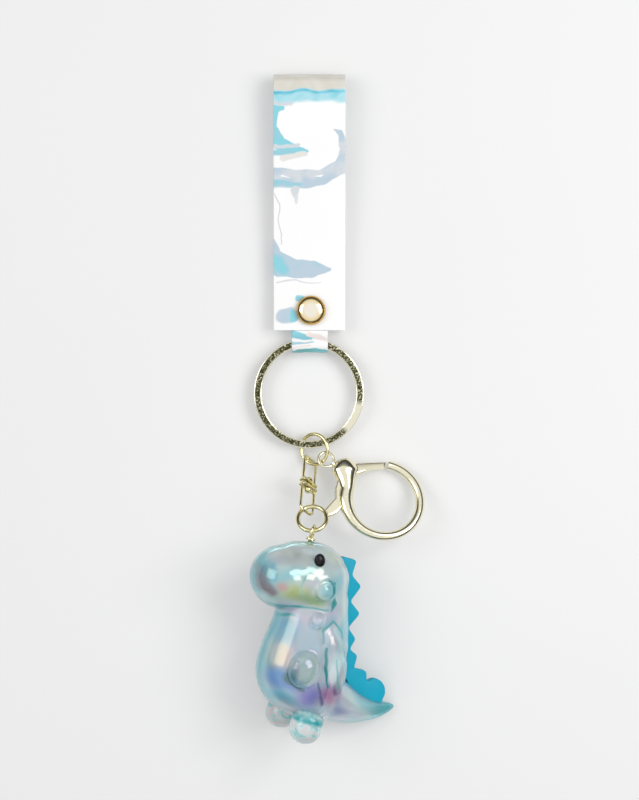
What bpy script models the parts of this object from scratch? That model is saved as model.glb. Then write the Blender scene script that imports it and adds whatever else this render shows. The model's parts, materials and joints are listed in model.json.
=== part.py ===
"""Keychain: clear film wrist strap, gold rings, swivel link, lobster clasp and hollow dinosaur charm.

Metres, +Z up. The keychain lies on a table at z = 0, with the strap rivet's axis through the origin.
The strap runs along +Y, and the rings, the clasp and the dinosaur lie along -Y.
"""

import math

import bmesh
import bpy
from mathutils import Matrix, Vector

MM = 0.001
GAP = 0.3 * MM  # clearance between pieces that touch on the real object

# Strap, tab and rivet
FILM = 0.45 * MM
LAYER_GAP = 0.25 * MM
STRAP_WIDTH = 19.5 * MM
STRAP_CENTRE_X = -0.4 * MM
STRAP_END_Y = -5.4 * MM
STRAP_TOP_Y = 64.3 * MM
STRAP_FOLD_RADIUS = 3.3 * MM  # film centreline in the fold
STRAP_FLAT_Y = 6.0 * MM  # the layers are pressed flat below this
STRAP_TABLE_Y = 30.0 * MM  # the lower layer lies on the table above this
TABLE_CLEARANCE = 0.05 * MM
TAB_WIDTH = 9.8 * MM
TAB_CENTRE_X = -0.3 * MM
TAB_END_Y = 5.0 * MM
TAB_PINCH_Y = -5.3 * MM
TAB_EYE_RADIUS = 2.0 * MM  # clear radius that the split ring turns in
RIVET_DIAMETER = 8.0 * MM
RIVET_POST_DIAMETER = 3.0 * MM
BACK_CAP_HEIGHT = 1.7 * MM
FRONT_CAP_HEIGHT = 2.2 * MM

# Split ring: two flat turns of one band
RING_OUTER = 30.0 * MM
RING_BAND = 2.1 * MM
RING_TURN = 0.87 * MM
RING_TURN_GAP = 0.16 * MM
RING_CENTRE_XY = (-0.55 * MM, -22.55 * MM)
RING_STEP_START = -50.0  # degrees, where the ramp between the turns starts
RING_STEP_SWEEP = 40.0

# Jump rings, measured at the wire's centreline
UPPER_JUMP_RADIUS = 4.15 * MM
UPPER_JUMP_WIRE = 1.06 * MM
UPPER_JUMP_XY = (0.92 * MM, -37.8 * MM)
UPPER_JUMP_TILT = 30.0  # degrees, one side over the split ring and one under it
LOWER_JUMP_RADIUS = 3.85 * MM
LOWER_JUMP_WIRE = 1.2 * MM
LOWER_JUMP_TILT = 36.0
LINK_AT = -115.0  # degrees round the upper jump ring where the swivel link hangs
CLASP_AT = -42.4  # and where the clasp hangs

# Swivel link
BAIL_WIRE = 0.78 * MM
BAIL_HALF_WIDTH = 2.35 * MM
BAIL_CORNER = 1.2 * MM
UPPER_BAIL_HOOK = 1.45 * MM  # from the jump ring's wire centre to the bail's crossbar centre
LOWER_BAIL_HOOK = 1.42 * MM
UPPER_BAIL_ROLL = -48.0
LOWER_BAIL_ROLL = -44.0
BRIDGE_THICKNESS = 1.0 * MM
BRIDGE_DEPTH = 2.0 * MM
SWIVEL_GAP = 0.5 * MM
RIVET_PIN = 1.0 * MM
RIVET_HEAD = 2.2 * MM
RIVET_HEAD_HEIGHT = 0.9 * MM

# Lobster clasp, in its own plane with the eye at the origin and the hoop along +X
CLASP_HOOP_X = 18.9 * MM
CLASP_HOOP_RADIUS = 10.3 * MM
CLASP_WIRE_RADIUS = 1.25 * MM
CLASP_ROLL = 24.0
CLASP_EYE_OFFSET = 0.4 * MM
CLASP_EYE_RADIUS = 2.1 * MM
CLASP_EYE_WIRE = 0.76 * MM
CLASP_BULB = (6.05 * MM, 0.45 * MM)
CLASP_BULB_RADIUS = 3.65 * MM
CLASP_BULB_HALF_DEPTH = 2.6 * MM
CLASP_SLOT = 2.6 * MM
GATE_THICKNESS = 1.9 * MM
GATE_HUB_RADIUS = 2.0 * MM
GATE_TIP_ANGLE = 120.3
HOOP_TIP_ANGLE = 116.5
CLASP_PIN = 1.0 * MM
CLASP_SWING_AXIS = (-0.45, -0.70, 0.55)  # lifts the hoop away from the chain

# Screw eye
SCREW_EYE_RADIUS = 1.65 * MM
SCREW_EYE_WIRE = 0.84 * MM
SCREW_EYE_ROLL = 55.0
SCREW_SHANK = 1.3 * MM
SCREW_LENGTH = 8.0 * MM
SCREW_COLLAR = 2.8 * MM

# Dinosaur charm, in its own frame: x forward, y to its left, z up, origin midway between the feet
DINO_ORIGIN = (-4.66 * MM, -110.0 * MM, 12.4 * MM)
DINO_LEFT = (0.385, -0.12, 0.915)
DINO_UP = (0.276, 0.961, 0.0)
DINO_WALL = 2.6 * MM
HEAD_WALL = 2.2 * MM
FOOT_SPREAD = 8.5 * MM
FOOT_RADIUS = 4.3 * MM
SCREW_X = 10.0 * MM
SCREW_EYE_Z = 50.0 * MM
HEAD_TOP_Z = 47.6 * MM
CREST_THICKNESS = 2.0 * MM
CREST_ROOT = 1.3 * MM  # how deep the crest sits in the back


# ---------------------------------------------------------------- helpers


def clear_scene():
    for obj in list(bpy.data.objects):
        bpy.data.objects.remove(obj, do_unlink=True)


def material(name, colour, roughness, metallic=0.0, transmission=0.0, alpha=1.0):
    found = bpy.data.materials.get(name)
    if found:
        return found
    made = bpy.data.materials.new(name)
    made.use_nodes = True
    shader = made.node_tree.nodes["Principled BSDF"]
    shader.inputs["Base Color"].default_value = (*colour, 1.0)
    shader.inputs["Roughness"].default_value = roughness
    shader.inputs["Metallic"].default_value = metallic
    shader.inputs["Transmission Weight"].default_value = transmission
    shader.inputs["Alpha"].default_value = alpha
    made.diffuse_color = (*colour, alpha)
    return made


def gold(name):
    return material(name, (0.83, 0.72, 0.42), 0.18, metallic=1.0)


def clear_plastic(name, tint):
    return material(name, tint, 0.08, transmission=0.8)


def frame_matrix(origin, x_axis, y_axis):
    """A placement whose local X and Y point along the given directions."""
    x = Vector(x_axis).normalized()
    z = x.cross(Vector(y_axis)).normalized()
    y = z.cross(x)
    rotation = Matrix((x, y, z)).transposed().to_4x4()
    return Matrix.Translation(Vector(origin)) @ rotation


def add_object(name, bm, finish, placement=None, parent=None):
    """A smooth-shaded object from a bmesh, placed and then parented without moving."""
    bmesh.ops.recalc_face_normals(bm, faces=bm.faces[:])
    mesh = bpy.data.meshes.new(name)
    bm.to_mesh(mesh)
    bm.free()
    mesh.shade_smooth()
    mesh.set_sharp_from_angle(angle=math.radians(40))
    obj = bpy.data.objects.new(name, mesh)
    bpy.context.collection.objects.link(obj)
    if finish:
        mesh.materials.append(finish)
    obj.matrix_world = placement or Matrix.Identity(4)
    if parent:
        obj.parent = parent
        obj.matrix_parent_inverse = parent.matrix_world.inverted()
    return obj


def add_joint(name, point, axis, parent=None):
    """An empty at a joint, with its local Z along the joint's axis."""
    empty = bpy.data.objects.new(name, None)
    empty.empty_display_size = 3 * MM
    bpy.context.collection.objects.link(empty)
    turn = Vector((0, 0, 1)).rotation_difference(Vector(axis))
    empty.matrix_world = Matrix.Translation(Vector(point)) @ turn.to_matrix().to_4x4()
    if parent:
        empty.parent = parent
        empty.matrix_parent_inverse = parent.matrix_world.inverted()
    bpy.context.view_layer.update()
    return empty


def helper(name, bm, placement=None):
    """A cutter or an added shape that the Boolean modifiers use and nobody sees."""
    obj = add_object(name, bm, None, placement)
    obj.hide_render = True
    obj.display_type = "WIRE"
    return obj


def boolean(obj, operation, tools):
    for tool in tools:
        modifier = obj.modifiers.new(tool.name, "BOOLEAN")
        modifier.operation = operation
        modifier.solver = "EXACT"
        modifier.object = tool


def round_section(radius, sides):
    steps = [2 * math.pi * (i + 0.5) / sides for i in range(sides)]
    return [(radius * math.cos(a), radius * math.sin(a)) for a in steps]


def chamfered_section(width, height, chamfer):
    w, h = width / 2, height / 2
    return [
        (w, -h + chamfer), (w, h - chamfer), (w - chamfer, h), (-w + chamfer, h),
        (-w, h - chamfer), (-w, -h + chamfer), (-w + chamfer, -h), (w - chamfer, -h),
    ]


def arc(centre, radius, start, end, steps):
    """Points of an arc in the XY plane, angles in degrees."""
    angles = [math.radians(start + (end - start) * i / steps) for i in range(steps + 1)]
    return [
        Vector((centre[0] + radius * math.cos(a), centre[1] + radius * math.sin(a), 0))
        for a in angles
    ]


def sweep(path, section, up=(0, 0, 1), closed=False, scales=None):
    """A section carried along a path. Its first number points sideways, its second along up."""
    bm = bmesh.new()
    count = len(path)
    scales = scales or [(1, 1)] * count
    rings = []
    for i, point in enumerate(path):
        before = path[i - 1] if closed or i else path[0]
        after = path[(i + 1) % count] if closed or i < count - 1 else path[-1]
        along = (after - before).normalized()
        side = along.cross(Vector(up)).normalized()
        top = side.cross(along)
        wide, tall = scales[i]
        rings.append([bm.verts.new(point + side * a * wide + top * b * tall) for a, b in section])
    sides = len(section)
    for i in range(count if closed else count - 1):
        first, second = rings[i], rings[(i + 1) % count]
        for k in range(sides):
            n = (k + 1) % sides
            bm.faces.new((first[k], first[n], second[n], second[k]))
    if not closed:
        bm.faces.new(rings[0])
        bm.faces.new(rings[-1])
    return bm


def torus(radius, wire_radius, steps, sides):
    path = arc((0, 0), radius, 0, 360 * (1 - 1 / steps), steps - 1)
    return sweep(path, round_section(wire_radius, sides), closed=True)


def revolve(profile, steps):
    """A solid turned about Z from (radius, z) points, lowest first. A radius of 0 closes an end."""
    bm = bmesh.new()
    rings = []
    for radius, z in profile:
        if radius == 0:
            rings.append([bm.verts.new((0, 0, z))])
            continue
        angles = [2 * math.pi * i / steps for i in range(steps)]
        rings.append([bm.verts.new((radius * math.cos(a), radius * math.sin(a), z)) for a in angles])
    for first, second in zip(rings, rings[1:]):
        for i in range(steps):
            n = (i + 1) % steps
            corners = [first[i % len(first)], first[n % len(first)]]
            corners += [second[n % len(second)], second[i % len(second)]]
            bm.faces.new(list(dict.fromkeys(corners)))
    for ring in (rings[0], rings[-1]):
        if len(ring) > 1:
            bm.faces.new(ring)
    return bm


def plate(outline, bottom, top, bevel=0.0):
    """An outline in the XY plane given thickness, with its rims bevelled."""
    bm = bmesh.new()
    base = bm.faces.new([bm.verts.new((p[0], p[1], bottom)) for p in outline])
    raised = bmesh.ops.extrude_face_region(bm, geom=[base])["geom"]
    for vert in raised:
        if isinstance(vert, bmesh.types.BMVert):
            vert.co.z = top
    if bevel:
        rims = [e for e in bm.edges if abs(e.verts[0].co.z - e.verts[1].co.z) < 1e-9]
        bmesh.ops.bevel(bm, geom=rims, offset=bevel, segments=2, affect="EDGES", profile=0.5)
    return bm


def box(low, high):
    bm = bmesh.new()
    size = Vector(high) - Vector(low)
    middle = (Vector(high) + Vector(low)) / 2
    bmesh.ops.create_cube(bm, size=1, matrix=Matrix.Translation(middle) @ Matrix.Diagonal((*size, 1)))
    return bm


def rod(start, end, radius, sides):
    middle = (Vector(start) + Vector(end)) / 2
    along = Vector(end) - Vector(start)
    turn = Vector((0, 0, 1)).rotation_difference(along).to_matrix().to_4x4()
    bm = bmesh.new()
    bmesh.ops.create_cone(
        bm, cap_ends=True, segments=sides, radius1=radius, radius2=radius,
        depth=along.length, matrix=Matrix.Translation(middle) @ turn,
    )
    return bm


def ellipsoid(centre, radii, tilt=0.0, segments=20, rings=12):
    """An ellipsoid in millimetres, tilted about the sideways axis by degrees."""
    bm = bmesh.new()
    turn = Matrix.Rotation(math.radians(tilt), 4, "Y")
    place = Matrix.Translation(Vector(centre) * MM) @ turn @ Matrix.Diagonal((*(r * MM for r in radii), 1))
    bmesh.ops.create_uvsphere(bm, u_segments=segments, v_segments=rings, radius=1, matrix=place)
    return bm


def smooth_step(value):
    value = min(1.0, max(0.0, value))
    return value * value * (3 - 2 * value)


# ---------------------------------------------------------------- strap, tab and rivet


def layer_z(index):
    """Height of a film layer's middle at the rivet: strap, tab, tab, strap."""
    return BACK_CAP_HEIGHT + LAYER_GAP + FILM / 2 + index * (FILM + LAYER_GAP)


RING_Z = (layer_z(1) + layer_z(2)) / 2
TAB_EYE_Y = RING_CENTRE_XY[1] + RING_OUTER / 2 - 1.55 * MM


def film_strip(profile, width, centre_x):
    """A strip of film that follows (y, z) points, extruded across X."""
    path = [Vector((centre_x, y, z)) for y, z in profile]
    half, thick = width / 2, FILM / 2
    section = [(half, thick), (-half, thick), (-half, -thick), (half, -thick)]
    bm = bmesh.new()
    rings = []
    for i, point in enumerate(path):
        before, after = path[max(i - 1, 0)], path[min(i + 1, len(path) - 1)]
        along = (after - before).normalized()
        normal = Vector((1, 0, 0)).cross(along)
        rings.append([bm.verts.new(point + Vector((a, 0, 0)) + normal * b) for a, b in section])
    for first, second in zip(rings, rings[1:]):
        for k in range(4):
            n = (k + 1) % 4
            bm.faces.new((first[k], first[n], second[n], second[k]))
    bm.faces.new(rings[0])
    bm.faces.new(rings[-1])
    return bm


def strap_profile():
    lying = TABLE_CLEARANCE + FILM / 2
    fold_y = STRAP_TOP_Y - FILM / 2 - STRAP_FOLD_RADIUS
    fold_z = lying + STRAP_FOLD_RADIUS
    steps = 12
    points = [(STRAP_END_Y, layer_z(0)), (STRAP_FLAT_Y, layer_z(0))]
    for i in range(1, steps + 1):
        share = i / steps
        y = STRAP_FLAT_Y + (STRAP_TABLE_Y - STRAP_FLAT_Y) * share
        points.append((y, layer_z(0) + (lying - layer_z(0)) * smooth_step(share)))
    for i in range(steps + 1):
        angle = math.radians(-90 + 180 * i / steps)
        y = fold_y + STRAP_FOLD_RADIUS * math.cos(angle)
        points.append((y, fold_z + STRAP_FOLD_RADIUS * math.sin(angle)))
    top = fold_z + STRAP_FOLD_RADIUS
    for i in range(1, 2 * steps + 1):
        share = i / (2 * steps)
        y = fold_y + (STRAP_FLAT_Y - fold_y) * share
        points.append((y, top + (layer_z(3) - top) * smooth_step(share)))
    points.append((STRAP_END_Y, layer_z(3)))
    return points


def tab_profile():
    """The tab leaves the rivet flat, rounds the split ring and comes back flat."""
    radius = TAB_EYE_RADIUS + FILM / 2
    reach = TAB_PINCH_Y - TAB_EYE_Y
    opening = math.degrees(math.acos(radius / reach))
    points = [(TAB_END_Y, layer_z(1)), (TAB_PINCH_Y, layer_z(1))]
    steps = 20
    for i in range(steps + 1):
        angle = math.radians(-opening - (360 - 2 * opening) * i / steps)
        points.append((TAB_EYE_Y + radius * math.cos(angle), RING_Z + radius * math.sin(angle)))
    points += [(TAB_PINCH_Y, layer_z(2)), (TAB_END_Y, layer_z(2))]
    return points


def make_strap():
    hole = helper("cut_rivet_hole", rod((0, 0, -MM), (0, 0, 9 * MM), RIVET_POST_DIAMETER / 2 + GAP, 24))
    film = clear_plastic("iridescent film", (0.86, 0.92, 0.97))
    strap = add_object("strap_loop", film_strip(strap_profile(), STRAP_WIDTH, STRAP_CENTRE_X), film)
    tab = add_object("ring_tab", film_strip(tab_profile(), TAB_WIDTH, TAB_CENTRE_X), film)
    boolean(strap, "DIFFERENCE", [hole])
    boolean(tab, "DIFFERENCE", [hole])


def make_rivet():
    radius = RIVET_DIAMETER / 2
    top = layer_z(3) + FILM / 2 + LAYER_GAP
    post = RIVET_POST_DIAMETER / 2
    socket = 0.9 * MM
    finish = gold("rivet gold")
    back = [
        (radius - 0.4 * MM, 0), (radius, 0.4 * MM), (radius - 0.2 * MM, BACK_CAP_HEIGHT),
        (post, BACK_CAP_HEIGHT), (post, top - GAP), (post - 0.6 * MM, top - GAP + 0.01 * MM),
        (post - 0.6 * MM, top + socket),
    ]
    add_object("rivet_back", revolve(back, 32), finish)
    cap = [
        (0.55 * radius, FRONT_CAP_HEIGHT), (0.8 * radius, 0.8 * FRONT_CAP_HEIGHT),
        (0.95 * radius, 0.5 * FRONT_CAP_HEIGHT), (radius, 0.2 * FRONT_CAP_HEIGHT),
        (radius - 0.1 * MM, 0),
    ]
    front = add_object("rivet_cap", revolve([(r, top + z) for r, z in reversed(cap)], 32), finish)
    hole = rod((0, 0, top - MM), (0, 0, top + socket + GAP), post - 0.6 * MM + 0.2 * MM, 20)
    boolean(front, "DIFFERENCE", [helper("cut_rivet_socket", hole)])


# ---------------------------------------------------------------- rings


def make_split_ring(parent):
    """One flat band wound twice, with a ramp where it steps from the lower turn to the upper."""
    middle_radius = (RING_OUTER - RING_BAND) / 2
    rise = RING_TURN + RING_TURN_GAP
    steps_per_degree = 1 / 7
    clear = 2.0
    start = RING_STEP_START + RING_STEP_SWEEP + clear
    lower = 360 - RING_STEP_SWEEP - clear
    total = 2 * lower + RING_STEP_SWEEP
    count = int(total * steps_per_degree)
    path = []
    for i in range(count + 1):
        turned = total * i / count
        z = -rise / 2 + rise * smooth_step((turned - lower) / RING_STEP_SWEEP)
        angle = math.radians(start + turned)
        path.append(Vector((middle_radius * math.cos(angle), middle_radius * math.sin(angle), z)))
    band = sweep(path, chamfered_section(RING_BAND, RING_TURN, 0.18 * MM))
    place = Matrix.Translation((*RING_CENTRE_XY, RING_Z))
    add_object("split_ring", band, gold("split ring gold"), place, parent)


def upper_jump_frame():
    centre = Vector((*UPPER_JUMP_XY, RING_Z))
    to_ring = (Vector((*RING_CENTRE_XY, RING_Z)) - centre).normalized()
    across = to_ring.cross(Vector((0, 0, 1)))
    tilt = math.radians(UPPER_JUMP_TILT)
    rising = across * math.cos(tilt) + Vector((0, 0, math.sin(tilt)))
    return frame_matrix(centre, rising, to_ring)


def on_ring(placement, radius, degrees):
    """A point on a jump ring's centreline and the wire's direction there, in the world."""
    angle = math.radians(degrees)
    point = placement @ Vector((radius * math.cos(angle), radius * math.sin(angle), 0))
    along = placement.to_3x3() @ Vector((-math.sin(angle), math.cos(angle), 0))
    return point, along


# ---------------------------------------------------------------- dinosaur frame

DINO_FRAME = frame_matrix(
    DINO_ORIGIN,
    Vector(DINO_LEFT).cross(Vector(DINO_UP)),
    DINO_LEFT,
)


def lower_jump_frame():
    """The lower ring hangs in the screw eye and rises from there towards the swivel link."""
    wire = DINO_FRAME @ Vector((SCREW_X, 0, SCREW_EYE_Z + 0.3 * MM))
    tilt = math.radians(LOWER_JUMP_TILT)
    up_the_ring = Vector((-0.06, math.cos(tilt), -math.sin(tilt))).normalized()
    across = up_the_ring.cross(Vector((0, 0, 1))).normalized()
    return frame_matrix(wire + up_the_ring * LOWER_JUMP_RADIUS, across, up_the_ring)


# ---------------------------------------------------------------- swivel link


def bail_path():
    """Half of the swivel link: a squared wire bow from one foot of the bridge to the other."""
    foot = 7.0 * MM
    side, corner = BAIL_HALF_WIDTH, BAIL_CORNER
    right = [Vector((foot, side, 0))]
    right += arc((corner, side - corner), corner, 90, 180, 5)
    left = [Vector((p.x, -p.y, 0)) for p in reversed(right)]
    return right + left


def make_bail(name, placement, length, parent):
    path = bail_path()
    for end in (path[0], path[-1]):
        end.x = length - BRIDGE_THICKNESS / 2
    wire = sweep(path, round_section(BAIL_WIRE / 2, 8))
    bail = add_object(name, wire, gold("link gold"), placement, parent)
    half = BAIL_HALF_WIDTH + BAIL_WIRE / 2
    bar = box((length - BRIDGE_THICKNESS, -half, -BRIDGE_DEPTH / 2), (length, half, BRIDGE_DEPTH / 2))
    bmesh.ops.bevel(bar, geom=bar.edges[:], offset=0.25 * MM, segments=2, affect="EDGES", profile=0.5)
    hole = rod((length - 2 * MM, 0, 0), (length + 2 * MM, 0, 0), RIVET_PIN / 2 + 0.2 * MM, 16)
    boolean(bail, "UNION", [helper(name + "_bridge", bar, placement)])
    boolean(bail, "DIFFERENCE", [helper("cut_" + name, hole, placement)])


def link_frames():
    """Placements of the two bails, both with X pointing towards the swivel rivet."""
    upper_wire, _ = on_ring(upper_jump_frame(), UPPER_JUMP_RADIUS, LINK_AT)
    lower_wire, _ = on_ring(lower_jump_frame(), LOWER_JUMP_RADIUS, 110.0)
    along = (lower_wire - upper_wire).normalized()
    level = along.cross(Vector((0, 0, 1))).normalized() * -1
    over = along.cross(level)
    frames = []
    for end, direction, roll in (
        (upper_wire - along * UPPER_BAIL_HOOK, along, UPPER_BAIL_ROLL),
        (lower_wire + along * LOWER_BAIL_HOOK, -along, LOWER_BAIL_ROLL),
    ):
        turn = math.radians(roll)
        side = level * math.cos(turn) + over * math.sin(turn)
        frames.append(frame_matrix(end, direction, side))
    return frames


def make_link(upper_parent, lower_parent):
    upper, lower = link_frames()
    whole = (upper.translation - lower.translation).length
    reach = (whole - SWIVEL_GAP) / 2
    make_bail("upper_bail", upper, reach, upper_parent)
    make_bail("lower_bail", lower, reach, lower_parent)
    head_start = reach - BRIDGE_THICKNESS - GAP
    pin, head = RIVET_PIN / 2, RIVET_HEAD / 2
    profile = [
        (0.6 * head, head_start - RIVET_HEAD_HEIGHT), (head, head_start - 0.4 * RIVET_HEAD_HEIGHT),
        (head, head_start), (pin, head_start),
    ]
    profile += [(r, whole - z) for r, z in reversed(profile)]
    turn = Matrix.Rotation(math.radians(90), 4, "Y")
    add_object("swivel_rivet", revolve(profile, 16), gold("link gold"), upper @ turn, lower_parent)


# ---------------------------------------------------------------- clasp


def clasp_frame():
    wire, along = on_ring(upper_jump_frame(), UPPER_JUMP_RADIUS, CLASP_AT)
    length_axis = Vector((0.815, -0.580, 0.085)).normalized()
    level = Vector((0, 0, 1)).cross(length_axis).normalized()
    over = length_axis.cross(level)
    roll = math.radians(-CLASP_ROLL)
    side = level * math.cos(roll) + over * math.sin(roll)
    return frame_matrix(wire + length_axis * CLASP_EYE_OFFSET, length_axis, side)


def make_clasp_body(placement, parent):
    hoop_centre = (CLASP_HOOP_X, 0)
    wire = CLASP_WIRE_RADIUS
    hoop = arc(hoop_centre, CLASP_HOOP_RADIUS, HOOP_TIP_ANGLE, -157, 44)
    bulb = Vector((*CLASP_BULB, 0))
    neck = hoop[-1]
    toward = (bulb - neck).normalized()
    drop = [neck.lerp(bulb, share) for share in (0.3, 0.55, 0.8, 1.0)]
    drop_width = [2.1 * MM, 2.7 * MM, 3.35 * MM, CLASP_BULB_RADIUS]
    for angle in (30, 55, 75):
        drop.append(bulb + toward * CLASP_BULB_RADIUS * math.sin(math.radians(angle)))
        drop_width.append(CLASP_BULB_RADIUS * math.cos(math.radians(angle)))
    widths = [wire] * 34 + [wire + 0.05 * MM * i for i in range(1, 12)] + drop_width
    flatness = CLASP_BULB_HALF_DEPTH / CLASP_BULB_RADIUS
    scales = []
    for width in widths:
        round_share = smooth_step((width - wire) / (CLASP_BULB_RADIUS - wire))
        scales.append((width / wire, width / wire * (1 + (flatness - 1) * round_share)))
    body = sweep(hoop + drop, round_section(wire, 12), scales=scales)
    clasp = add_object("clasp_body", body, gold("clasp gold"), placement, parent)
    eye = helper("clasp_eye", torus(CLASP_EYE_RADIUS, CLASP_EYE_WIRE / 2, 24, 8), placement)
    neck_rod = rod((CLASP_EYE_RADIUS, 0.1 * MM, 0), (4 * MM, 0.4 * MM, 0), 0.65 * MM, 10)
    boolean(clasp, "UNION", [eye, helper("clasp_neck", neck_rod, placement)])
    half = CLASP_SLOT / 2
    hub = rod((*CLASP_BULB, -half), (*CLASP_BULB, half), GATE_HUB_RADIUS + 0.4 * MM, 24)
    gate_way = [
        (5.4 * MM, -1.4 * MM), (9.9 * MM, -1.2 * MM), (13.0 * MM, 6.5 * MM), (9.0 * MM, 8.5 * MM),
        (5.0 * MM, 2.6 * MM),
    ]
    lever_way = [(6.4 * MM, 1.8 * MM), (3.6 * MM, 1.6 * MM), (-0.6 * MM, -1.6 * MM), (2.0 * MM, -9.0 * MM)]
    lever_way += arc(hoop_centre, CLASP_HOOP_RADIUS + wire + 0.06 * MM, -140, -169, 6)
    cuts = [hub, plate(gate_way, -half, half), plate(lever_way, -half, half)]
    names = ("cut_hub", "cut_gate_way", "cut_lever_way")
    boolean(clasp, "DIFFERENCE", [helper(n, c, placement) for n, c in zip(names, cuts)])
    pin_hole = rod((*CLASP_BULB, -4 * MM), (*CLASP_BULB, 2.0 * MM), CLASP_PIN / 2 + 0.15 * MM, 16)
    boolean(clasp, "DIFFERENCE", [helper("cut_pin_hole", pin_hole, placement)])


def gate_outline():
    """The gate, its hub and the thumb lever in one flat outline."""
    hoop = (CLASP_HOOP_X, 0)
    inside = CLASP_HOOP_RADIUS - CLASP_WIRE_RADIUS
    outside = CLASP_HOOP_RADIUS + CLASP_WIRE_RADIUS + GAP
    tip = math.radians(GATE_TIP_ANGLE)
    outer_tip = 10.85 * MM
    points = arc(hoop, inside + 0.1 * MM, 158, GATE_TIP_ANGLE + 2.5, 8)
    points.append(Vector((hoop[0] + outer_tip * math.cos(tip), outer_tip * math.sin(tip), 0)))
    points.append(Vector((7.6 * MM, 4.2 * MM, 0)))
    points += arc(CLASP_BULB, GATE_HUB_RADIUS, 100, 195, 6)
    points += arc(hoop, outside + 1.5 * MM, -170, -154, 4)
    points += [Vector((8.3 * MM, -8.0 * MM, 0)), Vector((8.0 * MM, -10.3 * MM, 0))]
    points += arc((9.15 * MM, -12.2 * MM), 1.25 * MM, 180, 320, 6)
    points += [Vector((11.0 * MM, -11.4 * MM, 0))]
    points += arc(hoop, outside + 0.3 * MM, -129, -166, 8)
    points += arc(CLASP_BULB, GATE_HUB_RADIUS, -60, -20, 3)
    return points


def make_gate(placement, parent):
    half = GATE_THICKNESS / 2
    bm = plate(gate_outline(), -half, half, bevel=0.35 * MM)
    gate = add_object("clasp_gate", bm, gold("clasp gold"), placement, parent)
    hole = rod((*CLASP_BULB, -4 * MM), (*CLASP_BULB, 4 * MM), CLASP_PIN / 2 + 0.15 * MM, 16)
    recess = rod((*CLASP_BULB, -4 * MM), (*CLASP_BULB, -0.1 * MM), 1.5 * MM, 20)
    tools = [helper("cut_gate_hole", hole, placement), helper("cut_spring_seat", recess, placement)]
    boolean(gate, "DIFFERENCE", tools)


def make_clasp_spring(placement, parent):
    """A torsion spring round the pin, in the gate's recess. Its long leg bears on the slot's floor."""
    wire, coil, turns = 0.12 * MM, 1.02 * MM, 2.0
    bottom = -CLASP_SLOT / 2 + 0.2 * MM
    path = []
    steps = 32
    for i in range(steps + 1):
        angle = 2 * math.pi * turns * i / steps
        z = bottom + 0.36 * MM * turns * i / steps
        x = CLASP_BULB[0] + coil * math.cos(angle)
        y = CLASP_BULB[1] + coil * math.sin(angle)
        path.append(Vector((x, y, z)))
    spring = sweep(path, round_section(wire, 6))
    add_object("clasp_spring", spring, gold("spring steel"), placement, parent)


def make_clasp(body_parent, gate_parent):
    placement = clasp_frame()
    make_clasp_body(placement, body_parent)
    make_gate(placement, gate_parent)
    pin = rod((*CLASP_BULB, -2.3 * MM), (*CLASP_BULB, 1.8 * MM), CLASP_PIN / 2, 16)
    add_object("clasp_pin", pin, gold("clasp gold"), placement, body_parent)
    make_clasp_spring(placement, body_parent)


# ---------------------------------------------------------------- screw eye


def make_screw_eye(parent):
    roll = Matrix.Rotation(math.radians(SCREW_EYE_ROLL), 4, "Z")
    placement = DINO_FRAME @ Matrix.Translation((SCREW_X, 0, SCREW_EYE_Z)) @ roll
    upright = Matrix.Rotation(math.radians(90), 4, "X")
    base = HEAD_TOP_Z - SCREW_EYE_Z
    finish = gold("link gold")
    profile = [
        (SCREW_SHANK / 2, base - SCREW_LENGTH), (SCREW_SHANK / 2, base + 0.45 * MM),
        (SCREW_COLLAR / 2, base + 0.45 * MM), (SCREW_COLLAR / 2, base + 0.8 * MM),
        (0.6 * MM, base + 1.1 * MM),
    ]
    screw = add_object("screw_eye", revolve(profile, 16), finish, placement, parent)
    eye = helper("screw_eye_loop", torus(SCREW_EYE_RADIUS, SCREW_EYE_WIRE / 2, 20, 8), placement @ upright)
    boolean(screw, "UNION", [eye])


# ---------------------------------------------------------------- dinosaur

# Torso sections from the bottom up, in millimetres: height, middle, half depth, half width
TORSO = [
    (1.4, -0.5, 3.0, 3.5), (2.0, -0.3, 6.2, 6.6), (3.6, 0.2, 9.0, 8.8), (6.0, 1.0, 10.8, 10.0),
    (9.5, 1.9, 11.9, 10.7), (14.0, 2.4, 12.2, 10.8), (18.5, 2.6, 11.9, 10.6), (22.5, 2.6, 11.3, 10.2),
    (26.5, 3.0, 10.5, 9.7), (31.0, 3.8, 9.9, 9.3), (36.0, 5.0, 9.4, 9.0), (40.0, 6.5, 8.0, 8.0),
]
# Tail sections from the root back, in millimetres: x, height of middle, half height, half width
TAIL = [
    (-1.0, 9.0, 7.0, 7.6), (-7.5, 8.2, 6.7, 7.0), (-12.5, 7.2, 5.6, 5.8), (-17.0, 6.6, 4.2, 4.4),
    (-21.0, 6.9, 3.1, 3.3), (-24.5, 7.9, 2.2, 2.4), (-27.2, 9.1, 1.2, 1.4), (-28.3, 9.6, 0.4, 0.5),
]
# Rounded shapes moulded into the body, in millimetres: centre, radii, tilt; the sideways ones are mirrored
CRANIUM = ((7.0, 0.0, 37.6), (10.8, 10.4, 10.1), 0.0)
SNOUT = ((14.4, 0.0, 36.5), (9.3, 9.5, 8.6), 0.0)
KNEE = ((5.4, 8.9, 15.0), (4.4, 3.8, 5.3), 0.0)
HAUNCH = ((-1.8, 7.9, 19.4), (4.1, 3.3, 9.6), 27.0)
ARM = ((5.6, 8.6, 28.2), (2.3, 2.6, 2.3), 0.0)
CHEEK = ((6.3, 9.0, 36.6), (2.2, 2.2, 2.3), 0.0)


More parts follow.
